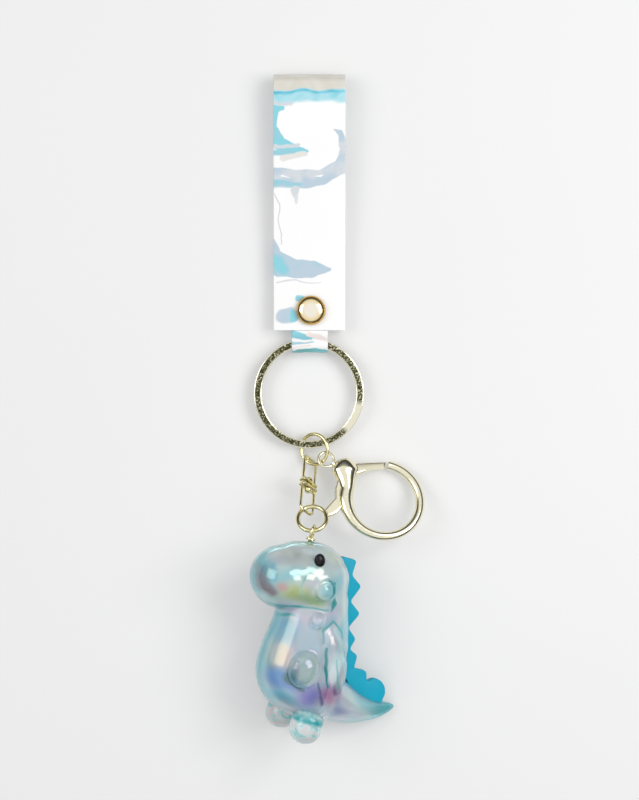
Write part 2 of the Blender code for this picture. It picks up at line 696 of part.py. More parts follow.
def section_loft(stations, placed, steps=24):
    """Elliptical sections joined in order. placed() gives a section's point at an angle."""
    bm = bmesh.new()
    rings = []
    for station in stations:
        angles = [2 * math.pi * (i + 0.5) / steps for i in range(steps)]
        rings.append([bm.verts.new(Vector(placed(station, a)) * MM) for a in angles])
    for first, second in zip(rings, rings[1:]):
        for i in range(steps):
            n = (i + 1) % steps
            bm.faces.new((first[i], first[n], second[n], second[i]))
    bm.faces.new(rings[0])
    bm.faces.new(rings[-1])
    return bm


def torso(grow=0.0, stations=TORSO):
    def placed(station, angle):
        z, middle, deep, wide = station
        x = middle + (deep + grow) * math.cos(angle)
        return x, (wide + grow) * math.sin(angle), z

    return section_loft(stations, placed)


def tail(grow=0.0, stations=TAIL):
    def placed(station, angle):
        x, middle, tall, wide = station
        return x, (wide + grow) * math.sin(angle), middle + (tall + grow) * math.cos(angle)

    return section_loft(stations, placed)


def rounded(shape, grow=0.0, side=1, segments=20):
    (x, y, z), radii, tilt = shape
    return ellipsoid((x, side * y, z), [r + grow for r in radii], tilt, segments)


def cavity_stations():
    """The torso's inside: a shorter stack of the same sections."""
    wall = DINO_WALL / MM
    return [(max(z, 1.4 + wall) if z < 5 else z, m, d, w) for z, m, d, w in TORSO[2:-1]]


def crest_outline(root, clear=0.0):
    """Spikes down the back in the dinosaur's middle plane, closed by a root line inside the back.

    With a clearance it outlines the groove, which runs past both ends of the crest by that much.
    """
    spikes = [
        (-0.3, 45.6), (-4.5, 45.6), (-4.4, 41.4), (-8.0, 39.1), (-6.1, 34.5), (-9.9, 31.9), (-7.7, 27.4),
        (-10.8, 25.0), (-9.9, 21.9), (-12.7, 20.7), (-12.7, 17.1), (-16.6, 17.2), (-17.6, 14.2),
        (-19.4, 15.7), (-21.6, 15.6), (-23.3, 14.2), (-24.0, 12.4),
    ]
    back = [
        (-23.6, 10.0), (-18.6, 10.2), (-14.4, 12.2), (-11.3, 15.8), (-8.8, 21.0), (-7.4, 25.6), (-6.2, 30.8),
        (-4.8, 36.0), (-3.2, 40.6), (0.0, 43.8),
    ]
    ends = clear / MM
    spikes[0] = (spikes[0][0] + ends, spikes[0][1])
    spikes[-1] = (spikes[-1][0] - ends, spikes[-1][1])
    back[0] = (back[0][0] - ends, back[0][1])
    back[-1] = (back[-1][0] + ends, back[-1][1] + ends)
    inner = []
    for i, (x, z) in enumerate(back):
        before, after = back[max(i - 1, 0)], back[min(i + 1, len(back) - 1)]
        along = Vector((after[0] - before[0], after[1] - before[1])).normalized()
        inner.append((x + along.y * root / MM, z - along.x * root / MM))
    return [Vector((x * MM, z * MM, 0)) for x, z in spikes + inner]


def upright_plate(outline, half_thickness):
    """An outline given in the dinosaur's X-Z plane, given thickness sideways."""
    bm = plate(outline, -half_thickness, half_thickness)
    bmesh.ops.rotate(bm, verts=bm.verts[:], matrix=Matrix.Rotation(math.radians(90), 3, "X"))
    return bm


def make_dino_tools():
    """Shapes that the two half shells share."""
    def add(name, bm):
        return helper(name, bm, DINO_FRAME)

    added = [
        add("tail_form", tail()),
        add("cranium_form", rounded(CRANIUM)),
        add("snout_form", rounded(SNOUT)),
    ]
    wall, head_wall = DINO_WALL / MM, HEAD_WALL / MM
    screw_low = (SCREW_X, 0, HEAD_TOP_Z - SCREW_LENGTH - 0.5 * MM)
    cavity = add("cavity", torso(-wall, cavity_stations()))
    boss = add("boss_form", rod(screw_low, (SCREW_X, 0, HEAD_TOP_Z), 2.0 * MM, 15))
    spaces = [
        add("tail_cavity", tail(-wall, TAIL[:4])),
        add("cranium_cavity", rounded(CRANIUM, -head_wall, segments=18)),
        add("snout_cavity", rounded(SNOUT, -head_wall, segments=18)),
    ]
    boolean(cavity, "UNION", spaces)
    boolean(cavity, "DIFFERENCE", [boss])
    groove = crest_outline(CREST_ROOT + GAP, GAP)
    screw_hole = rod((SCREW_X, 0, screw_low[2] + MM * 0.2), (SCREW_X, 0, 60 * MM), 0.95 * MM, 16)
    cuts = [
        add("cut_groove", upright_plate(groove, CREST_THICKNESS / 2 + GAP)),
        add("cut_screw_hole", screw_hole),
    ]
    return added, [cavity] + cuts


def make_shell(name, side, tools, parent):
    added, cuts = tools
    finish = clear_plastic("iridescent clear plastic", (0.75, 0.90, 0.95))
    shell = add_object(name, torso(), finish, DINO_FRAME, parent)
    own = [
        helper(f"{name}_{label}", rounded(shape, side=side), DINO_FRAME)
        for label, shape in (("knee", KNEE), ("haunch", HAUNCH), ("arm", ARM), ("cheek", CHEEK))
    ]
    boolean(shell, "UNION", added + own)
    far = 40 * MM
    low_y, high_y = (-far, GAP / 2) if side > 0 else (-GAP / 2, far)
    other_half = box((-far, low_y, -far), (far, high_y, 70 * MM))
    boolean(shell, "DIFFERENCE", [helper(f"cut_{name}_half", other_half, DINO_FRAME)])
    boolean(shell, "DIFFERENCE", cuts)
    peg_hole = rod((0, side * FOOT_SPREAD * 0.8, 0), (0, side * FOOT_SPREAD * 0.8, 6.3 * MM), 1.8 * MM, 16)
    boolean(shell, "DIFFERENCE", [helper(f"cut_{name}_peg", peg_hole, DINO_FRAME)])


def make_foot(name, side, torso_clear, parent):
    radius = FOOT_RADIUS
    profile = [(0, -4.4 * MM)]
    for degrees in (20, 40, 58, 75):
        angle = math.radians(degrees)
        profile.append((radius * math.sin(angle), -0.6 * MM - 3.8 * MM * math.cos(angle)))
    profile += [(radius, 0.2 * MM), (radius * 0.98, 3.2 * MM)]
    profile += [(radius * 0.9, 3.9 * MM), (radius * 0.7, 5.4 * MM)]
    place = DINO_FRAME @ Matrix.Translation((0, side * FOOT_SPREAD, 0))
    finish = clear_plastic("iridescent clear plastic", (0.75, 0.90, 0.95))
    foot = add_object(name, revolve(profile, 24), finish, place, parent)
    boolean(foot, "DIFFERENCE", [torso_clear])
    at = (0, side * FOOT_SPREAD * 0.8, 0)
    peg = rod((at[0], at[1], MM), (at[0], at[1], 6.0 * MM), 1.5 * MM, 16)
    boolean(foot, "UNION", [helper(name + "_peg", peg, DINO_FRAME)])


def make_eye(name, side, head_clear, parent):
    bm = ellipsoid((9.6, side * 7.5, 43.9), (1.4, 1.3, 1.75), segments=16, rings=10)
    eye = add_object(name, bm, material("black bead", (0.01, 0.01, 0.012), 0.15), DINO_FRAME, parent)
    boolean(eye, "DIFFERENCE", [head_clear])


def make_dinosaur(parent):
    tools = make_dino_tools()
    around = [(z - 0.35 if z < 8 else z, m, d, w) for z, m, d, w in TORSO]
    torso_clear = helper("torso_clear", torso(0.5, around), DINO_FRAME)
    around_head = ellipsoid(CRANIUM[0], [r + 0.2 for r in CRANIUM[1]], segments=48, rings=28)
    head_clear = helper("head_clear", around_head, DINO_FRAME)
    for name, side in (("left", 1), ("right", -1)):
        make_shell(f"shell_{name}", side, tools, parent)
        make_foot(f"foot_{name}", side, torso_clear, parent)
        make_eye(f"eye_{name}", side, head_clear, parent)
    crest = upright_plate(crest_outline(CREST_ROOT), CREST_THICKNESS / 2)
    add_object("back_crest", crest, material("turquoise plastic", (0.0, 0.40, 0.58), 0.6), DINO_FRAME, parent)


# ---------------------------------------------------------------- assembly


def main():
    clear_scene()
    make_strap()
    make_rivet()
    ring_fold = add_joint("joint_ring_fold", (0, TAB_EYE_Y, RING_Z), (-1, 0, 0))
    make_split_ring(ring_fold)

    travel = add_joint("joint_ring_travel", (*RING_CENTRE_XY, RING_Z), (0, 0, 1), ring_fold)
    upper = upper_jump_frame()
    upper_ring = torus(UPPER_JUMP_RADIUS, UPPER_JUMP_WIRE / 2, 32, 8)
    add_object("upper_jump_ring", upper_ring, gold("ring gold"), upper, travel)

    wire, _ = on_ring(upper, UPPER_JUMP_RADIUS, CLASP_AT)
    clasp_swing = add_joint("joint_clasp_swing", wire, CLASP_SWING_AXIS, travel)
    placement = clasp_frame()
    pin = placement @ Vector((*CLASP_BULB, 0))
    gate_open = add_joint("joint_gate_open", pin, -placement.col[2].to_3d(), clasp_swing)
    make_clasp(clasp_swing, gate_open)

    wire, along = on_ring(upper, UPPER_JUMP_RADIUS, LINK_AT)
    link_swing = add_joint("joint_link_swing", wire, -along, travel)
    upper_bail, lower_bail = link_frames()
    spin = add_joint("joint_swivel", upper_bail.translation, upper_bail.col[0].to_3d(), link_swing)
    make_link(link_swing, spin)

    lower = lower_jump_frame()
    ring_swing = add_joint("joint_lower_ring", lower_bail.translation, -lower_bail.col[1].to_3d(), spin)
    lower_ring = torus(LOWER_JUMP_RADIUS, LOWER_JUMP_WIRE / 2, 32, 8)
    add_object("lower_jump_ring", lower_ring, gold("ring gold"), lower, ring_swing)
    wire, along = on_ring(lower, LOWER_JUMP_RADIUS, -90.0)
    charm_swing = add_joint("joint_charm", wire, -along, ring_swing)
    make_screw_eye(charm_swing)
    make_dinosaur(charm_swing)


main()
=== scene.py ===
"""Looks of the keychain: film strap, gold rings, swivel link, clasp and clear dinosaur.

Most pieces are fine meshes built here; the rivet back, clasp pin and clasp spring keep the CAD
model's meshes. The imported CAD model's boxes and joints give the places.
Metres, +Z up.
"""

import json
import math

import bmesh
import bpy
from mathutils import Matrix, Vector


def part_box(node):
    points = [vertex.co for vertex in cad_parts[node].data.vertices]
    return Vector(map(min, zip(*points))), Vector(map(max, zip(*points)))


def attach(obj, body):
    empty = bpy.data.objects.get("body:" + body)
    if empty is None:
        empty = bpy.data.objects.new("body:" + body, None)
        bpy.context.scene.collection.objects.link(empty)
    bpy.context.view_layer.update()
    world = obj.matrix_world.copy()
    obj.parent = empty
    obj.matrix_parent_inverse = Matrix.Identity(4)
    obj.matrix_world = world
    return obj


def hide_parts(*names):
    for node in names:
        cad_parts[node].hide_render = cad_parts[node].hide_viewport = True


MM = 0.001

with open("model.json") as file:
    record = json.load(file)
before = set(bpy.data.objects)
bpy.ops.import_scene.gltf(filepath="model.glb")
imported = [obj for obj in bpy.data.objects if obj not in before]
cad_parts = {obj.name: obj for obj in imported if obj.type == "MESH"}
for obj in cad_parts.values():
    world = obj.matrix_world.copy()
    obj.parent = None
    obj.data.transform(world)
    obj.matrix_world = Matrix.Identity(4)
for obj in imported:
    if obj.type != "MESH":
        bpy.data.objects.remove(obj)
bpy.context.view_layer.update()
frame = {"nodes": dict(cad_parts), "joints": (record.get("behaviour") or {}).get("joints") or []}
joints = {joint["name"]: joint for joint in frame["joints"]}
nodes = frame["nodes"]


# ---- places taken from the CAD model


def joint_at(name):
    return Vector(joints[name]["pos_m"])


def joint_axis(name):
    return Vector(joints[name]["axis"]).normalized()


def box_centre(node):
    low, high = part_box(node)
    return (low + high) / 2


def frame_matrix(origin, x_axis, y_axis):
    """A placement whose local X and Y point along the given directions."""
    x = Vector(x_axis).normalized()
    z = x.cross(Vector(y_axis)).normalized()
    y = z.cross(x)
    rotation = Matrix((x, y, z)).transposed().to_4x4()
    return Matrix.Translation(Vector(origin)) @ rotation


# ---- mesh helpers


def turn_by(degrees, axis):
    return Matrix.Rotation(math.radians(degrees), 4, axis)


def add_object(name, bm, finish, placement=None, body=None, node=None, angle=40):
    """A smooth-shaded piece from a bmesh, riding on a body in place of a CAD node."""
    bmesh.ops.recalc_face_normals(bm, faces=bm.faces[:])
    mesh = bpy.data.meshes.new(name)
    bm.to_mesh(mesh)
    bm.free()
    if placement is not None:
        mesh.transform(placement)
    mesh.shade_smooth()
    mesh.set_sharp_from_angle(angle=math.radians(angle))
    obj = bpy.data.objects.new(name, mesh)
    bpy.context.scene.collection.objects.link(obj)
    mesh.materials.append(finish)
    if body:
        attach(obj, body)
        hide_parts(node)
    return obj


def give_finish(node, finish):
    nodes[node].data.materials.clear()
    nodes[node].data.materials.append(finish)


def round_section(radius, sides):
    steps = [2 * math.pi * (i + 0.5) / sides for i in range(sides)]
    return [(radius * math.cos(a), radius * math.sin(a)) for a in steps]


def rounded_rectangle(width, height, corner, steps=4):
    """A section with rounded corners, going round once."""
    points = []
    for quarter, (sx, sy) in enumerate(((1, 1), (-1, 1), (-1, -1), (1, -1))):
        for i in range(steps + 1):
            a = math.radians(90 * quarter + 90 * i / steps)
            x = sx * (width / 2 - corner) + corner * math.cos(a)
            y = sy * (height / 2 - corner) + corner * math.sin(a)
            points.append((x, y))
    return points


def arc(centre, radius, start, end, steps):
    """Points of an arc in the XY plane, angles in degrees."""
    angles = [math.radians(start + (end - start) * i / steps) for i in range(steps + 1)]
    return [
        Vector((centre[0] + radius * math.cos(a), centre[1] + radius * math.sin(a), 0))
        for a in angles
    ]


def smooth_line(points, steps):
    """A Catmull-Rom curve through tuples of any length."""
    points = [tuple(points[0])] + [tuple(p) for p in points] + [tuple(points[-1])]
    out = []
    for i in range(1, len(points) - 2):
        p0, p1, p2, p3 = points[i - 1 : i + 3]
        for k in range(steps):
            t = k / steps
            out.append(tuple(
                0.5 * (2 * b + (c - a) * t + (2 * a - 5 * b + 4 * c - d) * t * t
                       + (3 * b - a - 3 * c + d) * t**3)
                for a, b, c, d in zip(p0, p1, p2, p3)
            ))
    out.append(points[-1])
    return out


def add_skin(bm, rings, closed=False):
    """Faces between neighbouring rings of points, capped at both ends unless the rings meet."""
    following = rings[1:] + rings[:1] if closed else rings[1:]
    for first, second in zip(rings, following):
        for k in range(len(first)):
            n = (k + 1) % len(first)
            bm.faces.new((first[k], first[n], second[n], second[k]))
    if not closed:
        bm.faces.new(rings[0])
        bm.faces.new(rings[-1])


def wire_loop(radius, wire, steps, sides):
    """A closed loop of round wire in the XY plane, both radii given."""
    path = arc((0, 0), radius, 0, 360 - 360 / steps, steps - 1)
    return sweep(path, round_section(wire, sides), closed=True)


def sweep(path, section, closed=False, scales=None):
    """A section carried along a path. Its first number points sideways, its second up."""
    bm = bmesh.new()
    count = len(path)
    scales = scales or [(1, 1)] * count
    rings = []
    for i, point in enumerate(path):
        before = path[i - 1] if closed or i else path[0]
        after = path[(i + 1) % count] if closed or i < count - 1 else path[-1]
        along = (after - before).normalized()
        side = along.cross(Vector((0, 0, 1))).normalized()
        top = side.cross(along)
        wide, tall = scales[i]
        rings.append([bm.verts.new(point + side * a * wide + top * b * tall) for a, b in section])
    add_skin(bm, rings, closed)
    return bm


def revolve(profile, steps=64):
    """A solid turned about Z from (radius, z) points, lowest first. A radius of 0 closes an end."""
    bm = bmesh.new()
    rings = []
    angles = [2 * math.pi * i / steps for i in range(steps)]
    for radius, z in profile:
        rings.append([
            bm.verts.new((radius * math.cos(a), radius * math.sin(a), z))
            for a in (angles if radius else angles[:1])
        ])
    for first, second in zip(rings, rings[1:]):
        for i in range(steps):
            places = ((first, i), (first, i + 1), (second, i + 1), (second, i))
            corners = [ring[k % len(ring)] for ring, k in places]
            bm.faces.new(list(dict.fromkeys(corners)))
    for ring in (rings[0], rings[-1]):
        if len(ring) > 1:
            bm.faces.new(ring)
    return bm


def round_edges(bm, edges, offset, segments):
    bmesh.ops.bevel(
        bm, geom=edges, offset=offset, segments=segments, affect="EDGES", profile=0.5
    )


def cap_edges(bm):
    """The rims of the end caps, the only faces with more than four corners."""
    return [e for e in bm.edges if any(len(f.verts) > 4 for f in e.link_faces)]


def plate(outline, half, bevel, segments=3):
    """An outline in the XY plane given thickness, with rounded rims."""
    bm = bmesh.new()
    base = bm.faces.new([bm.verts.new((p[0], p[1], -half)) for p in outline])
    raised = bmesh.ops.extrude_face_region(bm, geom=[base])["geom"]
    for vert in raised:
        if isinstance(vert, bmesh.types.BMVert):
            vert.co.z = half
    rims = [e for e in bm.edges if abs(e.verts[0].co.z - e.verts[1].co.z) < 1e-9]
    round_edges(bm, rims, bevel, segments)
    return bm


def ellipsoid(centre, radii, tilt=0.0, segments=64, rings=40):
    """An ellipsoid in millimetres, tilted about the sideways axis by degrees."""
    bm = bmesh.new()
    stretch = Matrix.Diagonal((*(r * MM for r in radii), 1))
    place = Matrix.Translation(Vector(centre) * MM) @ turn_by(tilt, "Y") @ stretch
    bmesh.ops.create_uvsphere(bm, u_segments=segments, v_segments=rings, radius=1, matrix=place)
    return bm


def join(parts):
    """One bmesh that holds several."""
    whole = bmesh.new()
    for part in parts:
        mesh = bpy.data.meshes.new("part")
        part.to_mesh(mesh)
        part.free()
        whole.from_mesh(mesh)
        bpy.data.meshes.remove(mesh)
    return whole


def fused(parts, voxel, smoothing):
    """Overlapping shapes melted into one smooth skin."""
    bm = join(parts)
    bmesh.ops.recalc_face_normals(bm, faces=bm.faces[:])
    mesh = bpy.data.meshes.new("fused")
    bm.to_mesh(mesh)
    bm.free()
    obj = bpy.data.objects.new("fused", mesh)
    bpy.context.scene.collection.objects.link(obj)
    remesh = obj.modifiers.new("Remesh", "REMESH")
    remesh.mode = "VOXEL"
    remesh.voxel_size = voxel
    relax = obj.modifiers.new("Smooth", "SMOOTH")
    relax.factor = 0.5
    relax.iterations = smoothing
    bpy.context.view_layer.update()
    graph = bpy.context.evaluated_depsgraph_get()
    out = bmesh.new()
    out.from_mesh(obj.evaluated_get(graph).data)
    bpy.data.objects.remove(obj)
    return out


def smooth_step(value):
    value = min(1.0, max(0.0, value))
    return value * value * (3 - 2 * value)


# ---- materials


class Nodes:
    """Short calls that add shader nodes to one material."""

    def __init__(self, name):
        self.material = bpy.data.materials.new(name)
        self.material.use_nodes = True
        self.tree = self.material.node_tree
        self.shader = self.tree.nodes["Principled BSDF"]
        self.place = self.tree.nodes.new("ShaderNodeTexCoord").outputs["Object"]

    def link(self, value, socket):
        if isinstance(value, bpy.types.NodeSocket):
            self.tree.links.new(value, socket)
        else:
            socket.default_value = value

    def set(self, name, value):
        self.link(value, self.shader.inputs[name])

    def add(self, kind, inputs, output, **settings):
        """A new node with these settings and inputs. It gives the node's output."""
        node = self.tree.nodes.new("ShaderNode" + kind)
        for name, value in settings.items():
            setattr(node, name, value)
        for name, value in inputs.items():
            self.link(value, node.inputs[name])
        return node.outputs[output]

    def noise(self, scale, detail=2.0, distortion=0.0, output="Fac"):
        inputs = {
            "Vector": self.place, "Scale": scale, "Detail": detail, "Distortion": distortion
        }
        return self.add("TexNoise", inputs, output)

    def cells(self, scale):
        return self.add("TexVoronoi", {"Vector": self.place, "Scale": scale}, "Distance")

    def math(self, operation, first, second=0.0, clamp=False):
        return self.add("Math", {0: first, 1: second}, 0, operation=operation, use_clamp=clamp)

    def varied(self, scale, detail, amount, base):
        """A number that noise raises above its base."""
        return self.math("ADD", self.math("MULTIPLY", self.noise(scale, detail), amount), base)

    def vector(self, operation, first, second, output="Vector"):
        return self.add("VectorMath", {0: first, 1: second}, output, operation=operation)

    def length(self, vector):
        return self.vector("LENGTH", vector, (0, 0, 0), "Value")

    def scaled(self, vector, factor):
        inputs = {0: vector, "Scale": factor}
        return self.add("VectorMath", inputs, "Vector", operation="SCALE")

    def ramp(self, value, stops):
        node = self.tree.nodes.new("ShaderNodeValToRGB")
        node.color_ramp.interpolation = "EASE"
        elements = node.color_ramp.elements
        while len(elements) < len(stops):
            elements.new(0.5)
        for element, (position, colour) in zip(elements, stops):
            element.position = position
            element.color = (*colour, 1.0)
        self.link(value, node.inputs["Fac"])
        return node.outputs["Color"]

    def mix(self, share, first, second, blend="MIX"):
        first, second = (
            (*colour, 1.0) if isinstance(colour, tuple) else colour for colour in (first, second)
        )
        inputs = {0: share, 6: first, 7: second}
        return self.add("Mix", inputs, 2, data_type="RGBA", blend_type=blend)

    def inside(self, value, outer, inner):
        """0 up to outer and 1 from inner on, with a smooth turn between them."""
        inputs = {"Value": value, "From Min": outer, "From Max": inner}
        return self.add("MapRange", inputs, "Result", interpolation_type="SMOOTHSTEP")

    def bump(self, height, strength, distance):
        inputs = {"Strength": strength, "Distance": distance, "Height": height}
        self.set("Normal", self.add("Bump", inputs, "Normal"))

    def spot(self, centre, radii, softness):
        """1 inside an ellipsoid and 0 outside, with a soft edge."""
        offset = self.vector("SUBTRACT", self.place, tuple(centre))
        far = self.length(self.vector("DIVIDE", offset, tuple(radii)))
        return self.inside(far, 1.0, 1.0 - softness)


def stroke(m, points, softness, plane="XY"):
    """1 along a stroke of (across, up, half width) points in metres on a plane, 0 outside it."""
    flat = m.vector("MULTIPLY", m.place, (1, 1, 0) if plane == "XY" else (1, 0, 1))
    nearest = None
    for (ax, ay, ar), (bx, by, br) in zip(points, points[1:]):
        start = (ax, ay, 0) if plane == "XY" else (ax, 0, ay)
        end = (bx, by, 0) if plane == "XY" else (bx, 0, by)
        along = Vector(end) - Vector(start)
        offset = m.vector("SUBTRACT", flat, start)
        share = m.vector("DOT_PRODUCT", offset, tuple(along / along.length_squared), "Value")
        share = m.math("ADD", share, 0.0, clamp=True)
        foot = m.scaled(tuple(along), share)
        away = m.length(m.vector("SUBTRACT", offset, foot))
        edge = m.math("SUBTRACT", away, m.math("ADD", m.math("MULTIPLY", share, br - ar), ar))
        nearest = edge if nearest is None else m.math("MINIMUM", nearest, edge)
    return m.inside(nearest, softness, -softness)


def plated(m, colour, roughness):
    """Plated metal with uneven polish and fine scratches."""
    m.set("Base Color", colour)
    m.set("Metallic", 1.0)
    m.set("Roughness", m.varied(900, 2, 0.08, roughness))
    m.bump(m.noise(2500, 2), 0.02, 0.02 * MM)
    return m.material


def gold(name, colour, dark, roughness):
    """Plating with faint cloudy wear."""
    m = Nodes(name)
    return plated(m, m.mix(m.noise(350, 3), dark, colour), roughness)


def ring_gold_painted_light(name, centre, inner, outer):
    """Pale gold, painted dark on the flat faces as a painted dark reflection over peened pits,
    polished on the rims, with a painted highlight on one side.
    """
    m = Nodes(name)
    offset = m.vector("SUBTRACT", m.place, tuple(centre))
    flat = m.vector("MULTIPLY", offset, (1, 1, 0))
    radius = m.length(flat)
    middle, half = (inner + outer) / 2, (outer - inner) / 2
    across = m.math("ABSOLUTE", m.math("SUBTRACT", radius, middle))
    share = m.math("DIVIDE", across, half)
    rim = m.ramp(share, [(0.62, (0, 0, 0)), (0.86, (1, 1, 1))])
    # A narrow painted highlight on one side of the ring's flat faces.
    outward = m.vector("NORMALIZE", flat, (0, 0, 0))
    glint_side = (math.cos(GLINT_SIDE), math.sin(GLINT_SIDE), 0)
    facing = m.vector("DOT_PRODUCT", outward, glint_side, "Value")
    painted_glint = m.ramp(facing, [(0.935, (0, 0, 0)), (0.975, (1, 1, 1))])
    rim_and_glint = m.mix(1.0, rim, painted_glint, "ADD")
    pits = m.cells(2600)
    speckle = m.noise(3000, 2)
    # The flat faces are painted dark: a painted dark reflection, speckled by noise.
    dark = m.ramp(speckle, [
        (0.42, (0.040, 0.040, 0.016)), (0.55, (0.13, 0.125, 0.06)), (0.66, (0.70, 0.68, 0.50)),
    ])
    m.set("Base Color", m.mix(rim_and_glint, dark, (0.90, 0.86, 0.68)))
    m.set("Metallic", 1.0)
    m.set("Roughness", m.ramp(rim_and_glint, [(0, (0.38, 0.38, 0.38)), (1, (0.12, 0.12, 0.12))]))
    peened = m.math("ADD", pits, m.math("MULTIPLY", speckle, 0.6))
    m.bump(m.math("MULTIPLY", peened, m.math("SUBTRACT", 1.0, rim_and_glint)), 0.55, 0.05 * MM)
    return m.material


def turquoise(name):
    m = Nodes(name)
    m.set("Base Color", m.mix(m.noise(260, 3), (0.0, 0.36, 0.53), (0.003, 0.43, 0.60)))
    m.set("Roughness", m.varied(1500, 2, 0.15, 0.42))
    m.set("Specular IOR Level", 0.35)
    m.bump(m.noise(3000, 3), 0.15, 0.03 * MM)
    return m.material


def black_bead(name):
    m = Nodes(name)
    m.set("Base Color", m.mix(m.noise(600, 2), (0.004, 0.004, 0.005), (0.012, 0.012, 0.014)))
    m.set("Roughness", m.varied(1200, 1, 0.05, 0.22))
    m.set("Specular IOR Level", 0.25)
    return m.material


# ---- strap and tab

FILM = 0.45 * MM  # thickness
FILM_CORNER = 0.18 * MM
LAYER_GAP = 0.25 * MM
FOLD_RADIUS = 3.3 * MM
FLAT_Y = 6.0 * MM  # the layers are pressed flat below this
TABLE_Y = 30.0 * MM  # the lower layer lies on the table above this
TAB_EYE = 2.0 * MM  # clear radius round the split ring
TAB_PINCH = 3.8 * MM  # from the eye's centre to where the layers part
strap_low, strap_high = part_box("strap_loop")
tab_low, tab_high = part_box("ring_tab")
cap_low, cap_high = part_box("rivet_cap")
back_low, back_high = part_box("rivet_back")
RIVET_RADIUS = (back_high.x - back_low.x) / 2
RING_Z = joint_at("ring_fold").z
TAB_EYE_Y = joint_at("ring_fold").y


def layer_z(index):
    """Height of a film layer's middle at the rivet: strap, tab, tab, strap."""
    return RING_Z + (index - 1.5) * (FILM + LAYER_GAP)


def film_sheet(profile, width, centre_x, across=24, ripple=None):
    """A strip of film with rounded edges that follows (y, z) points, extruded across X."""
    count = len(profile)
    bm = bmesh.new()
    section = rounded_rectangle(width, FILM, FILM_CORNER, 3)
    dense = []
    for i, (a, b) in enumerate(section):
        c, d = section[(i + 1) % len(section)]
        steps = across if abs(c - a) > width / 2 else 1
        dense += [(a + (c - a) * k / steps, b + (d - b) * k / steps) for k in range(steps)]
    rings = []
    for i, (y, z) in enumerate(profile):
        before, after = profile[max(i - 1, 0)], profile[min(i + 1, count - 1)]
        along = Vector((0, after[0] - before[0], after[1] - before[1])).normalized()
        normal = Vector((1, 0, 0)).cross(along)
        ring = []
        for a, b in dense:
            lift = ripple(i / (count - 1), a / width) if ripple else 0
            ring.append(bm.verts.new(Vector((centre_x + a, y, z)) + normal * (b + lift)))
        rings.append(ring)
    add_skin(bm, rings)
    return bm


def run(start, end, steps, first=1):
    """(y, z) points from start to end that leave and arrive level."""
    shares = [i / steps for i in range(first, steps + 1)]
    return [
        (start[0] + (end[0] - start[0]) * share,
         start[1] + (end[1] - start[1]) * smooth_step(share))
        for share in shares
    ]


def bend(y, z, radius, start, turned, steps, first=1):
    """(y, z) points round a centre, angles in degrees."""
    angles = [math.radians(start + turned * i / steps) for i in range(first, steps + 1)]
    return [(y + radius * math.cos(a), z + radius * math.sin(a)) for a in angles]


def strap_profile(steps=40):
    """Flat under the rivet, down to the table, round the fold and back over the top."""
    lying = strap_low.z + FILM / 2
    fold_y = strap_high.y - FILM / 2 - FOLD_RADIUS
    fold_z = lying + FOLD_RADIUS
    top = fold_z + FOLD_RADIUS
    under, over = layer_z(0), layer_z(3)
    points = run((strap_low.y, under), (FLAT_Y, under), 10, 0)
    points += run((FLAT_Y, under), (TABLE_Y, lying), steps)
    points += run((TABLE_Y, lying), (fold_y, lying), steps)
    points += bend(fold_y, fold_z, FOLD_RADIUS, -90, 180, steps)
    points += run((fold_y, top), (FLAT_Y, over), 2 * steps)
    points += run((FLAT_Y, over), (strap_low.y, over), 10)
    return points


def tab_profile(steps=60):
    """The tab leaves the rivet flat, rounds the split ring and comes back flat."""
    radius = TAB_EYE + FILM / 2
    pinch = TAB_EYE_Y + TAB_PINCH
    opening = math.degrees(math.acos(radius / TAB_PINCH))
    under, over = layer_z(1), layer_z(2)
    points = run((tab_high.y, under), (pinch, under), 12, 0)
    points += bend(TAB_EYE_Y, RING_Z, radius, -opening, -(360 - 2 * opening), steps, 0)
    points += run((pinch, over), (tab_high.y, over), 12, 0)
    return points


def film_material(name, painted_reflections):
    """Glossy film with a pearly coat: near white, with crisp painted reflections in pale tints laid
    over it as strokes.
    """
    m = Nodes(name)
    plain = m.place
    wander = m.vector("SUBTRACT", m.noise(160, 2, output="Color"), (0.5, 0.5, 0.5))
    m.place = m.vector("ADD", plain, m.scaled(wander, 2.2 * MM))
    colour = m.mix(m.noise(90, 1), (0.95, 0.955, 0.95), (0.99, 0.985, 0.99))
    # Each stroke is a painted reflection, tinted between two colours by noise.
    for points, near, far, softness in painted_reflections:
        inside = stroke(m, points, softness * MM)
        tint = m.ramp(m.noise(150, 2, 0.6), [(0.38, near), (0.60, far)])
        colour = m.mix(inside, colour, tint)
    m.place = plain
    m.set("Base Color", colour)
    m.set("Roughness", m.varied(500, 2, 0.06, 0.10))
    m.set("Alpha", 0.93)
    m.set("Coat Weight", 0.5)
    m.set("Coat Roughness", 0.05)
    m.bump(m.noise(120, 2), 0.10, 0.5 * MM)
    return m.material


# Tints of the painted reflections and painted highlights on the film.
CYAN, TEAL, SKY = (0.30, 0.62, 0.72), (0.08, 0.48, 0.64), (0.24, 0.66, 0.76)
LAVENDER, PEARL, BEIGE = (0.50, 0.62, 0.72), (0.66, 0.70, 0.74), (0.70, 0.67, 0.59)
BLUSH, SNOW, WHITE = (0.88, 0.80, 0.78), (0.97, 0.97, 0.97), (1, 1, 1)


def on_strip(painted_reflections, left, fold, up):
    """Painted reflection strokes in millimetres from a strip's left edge and its fold, put where
    the strip is.
    """
    return [
        ([(left + x * MM, fold + up * y * MM, r * MM) for x, y, r in points], *looks)
        for points, *looks in painted_reflections
    ]


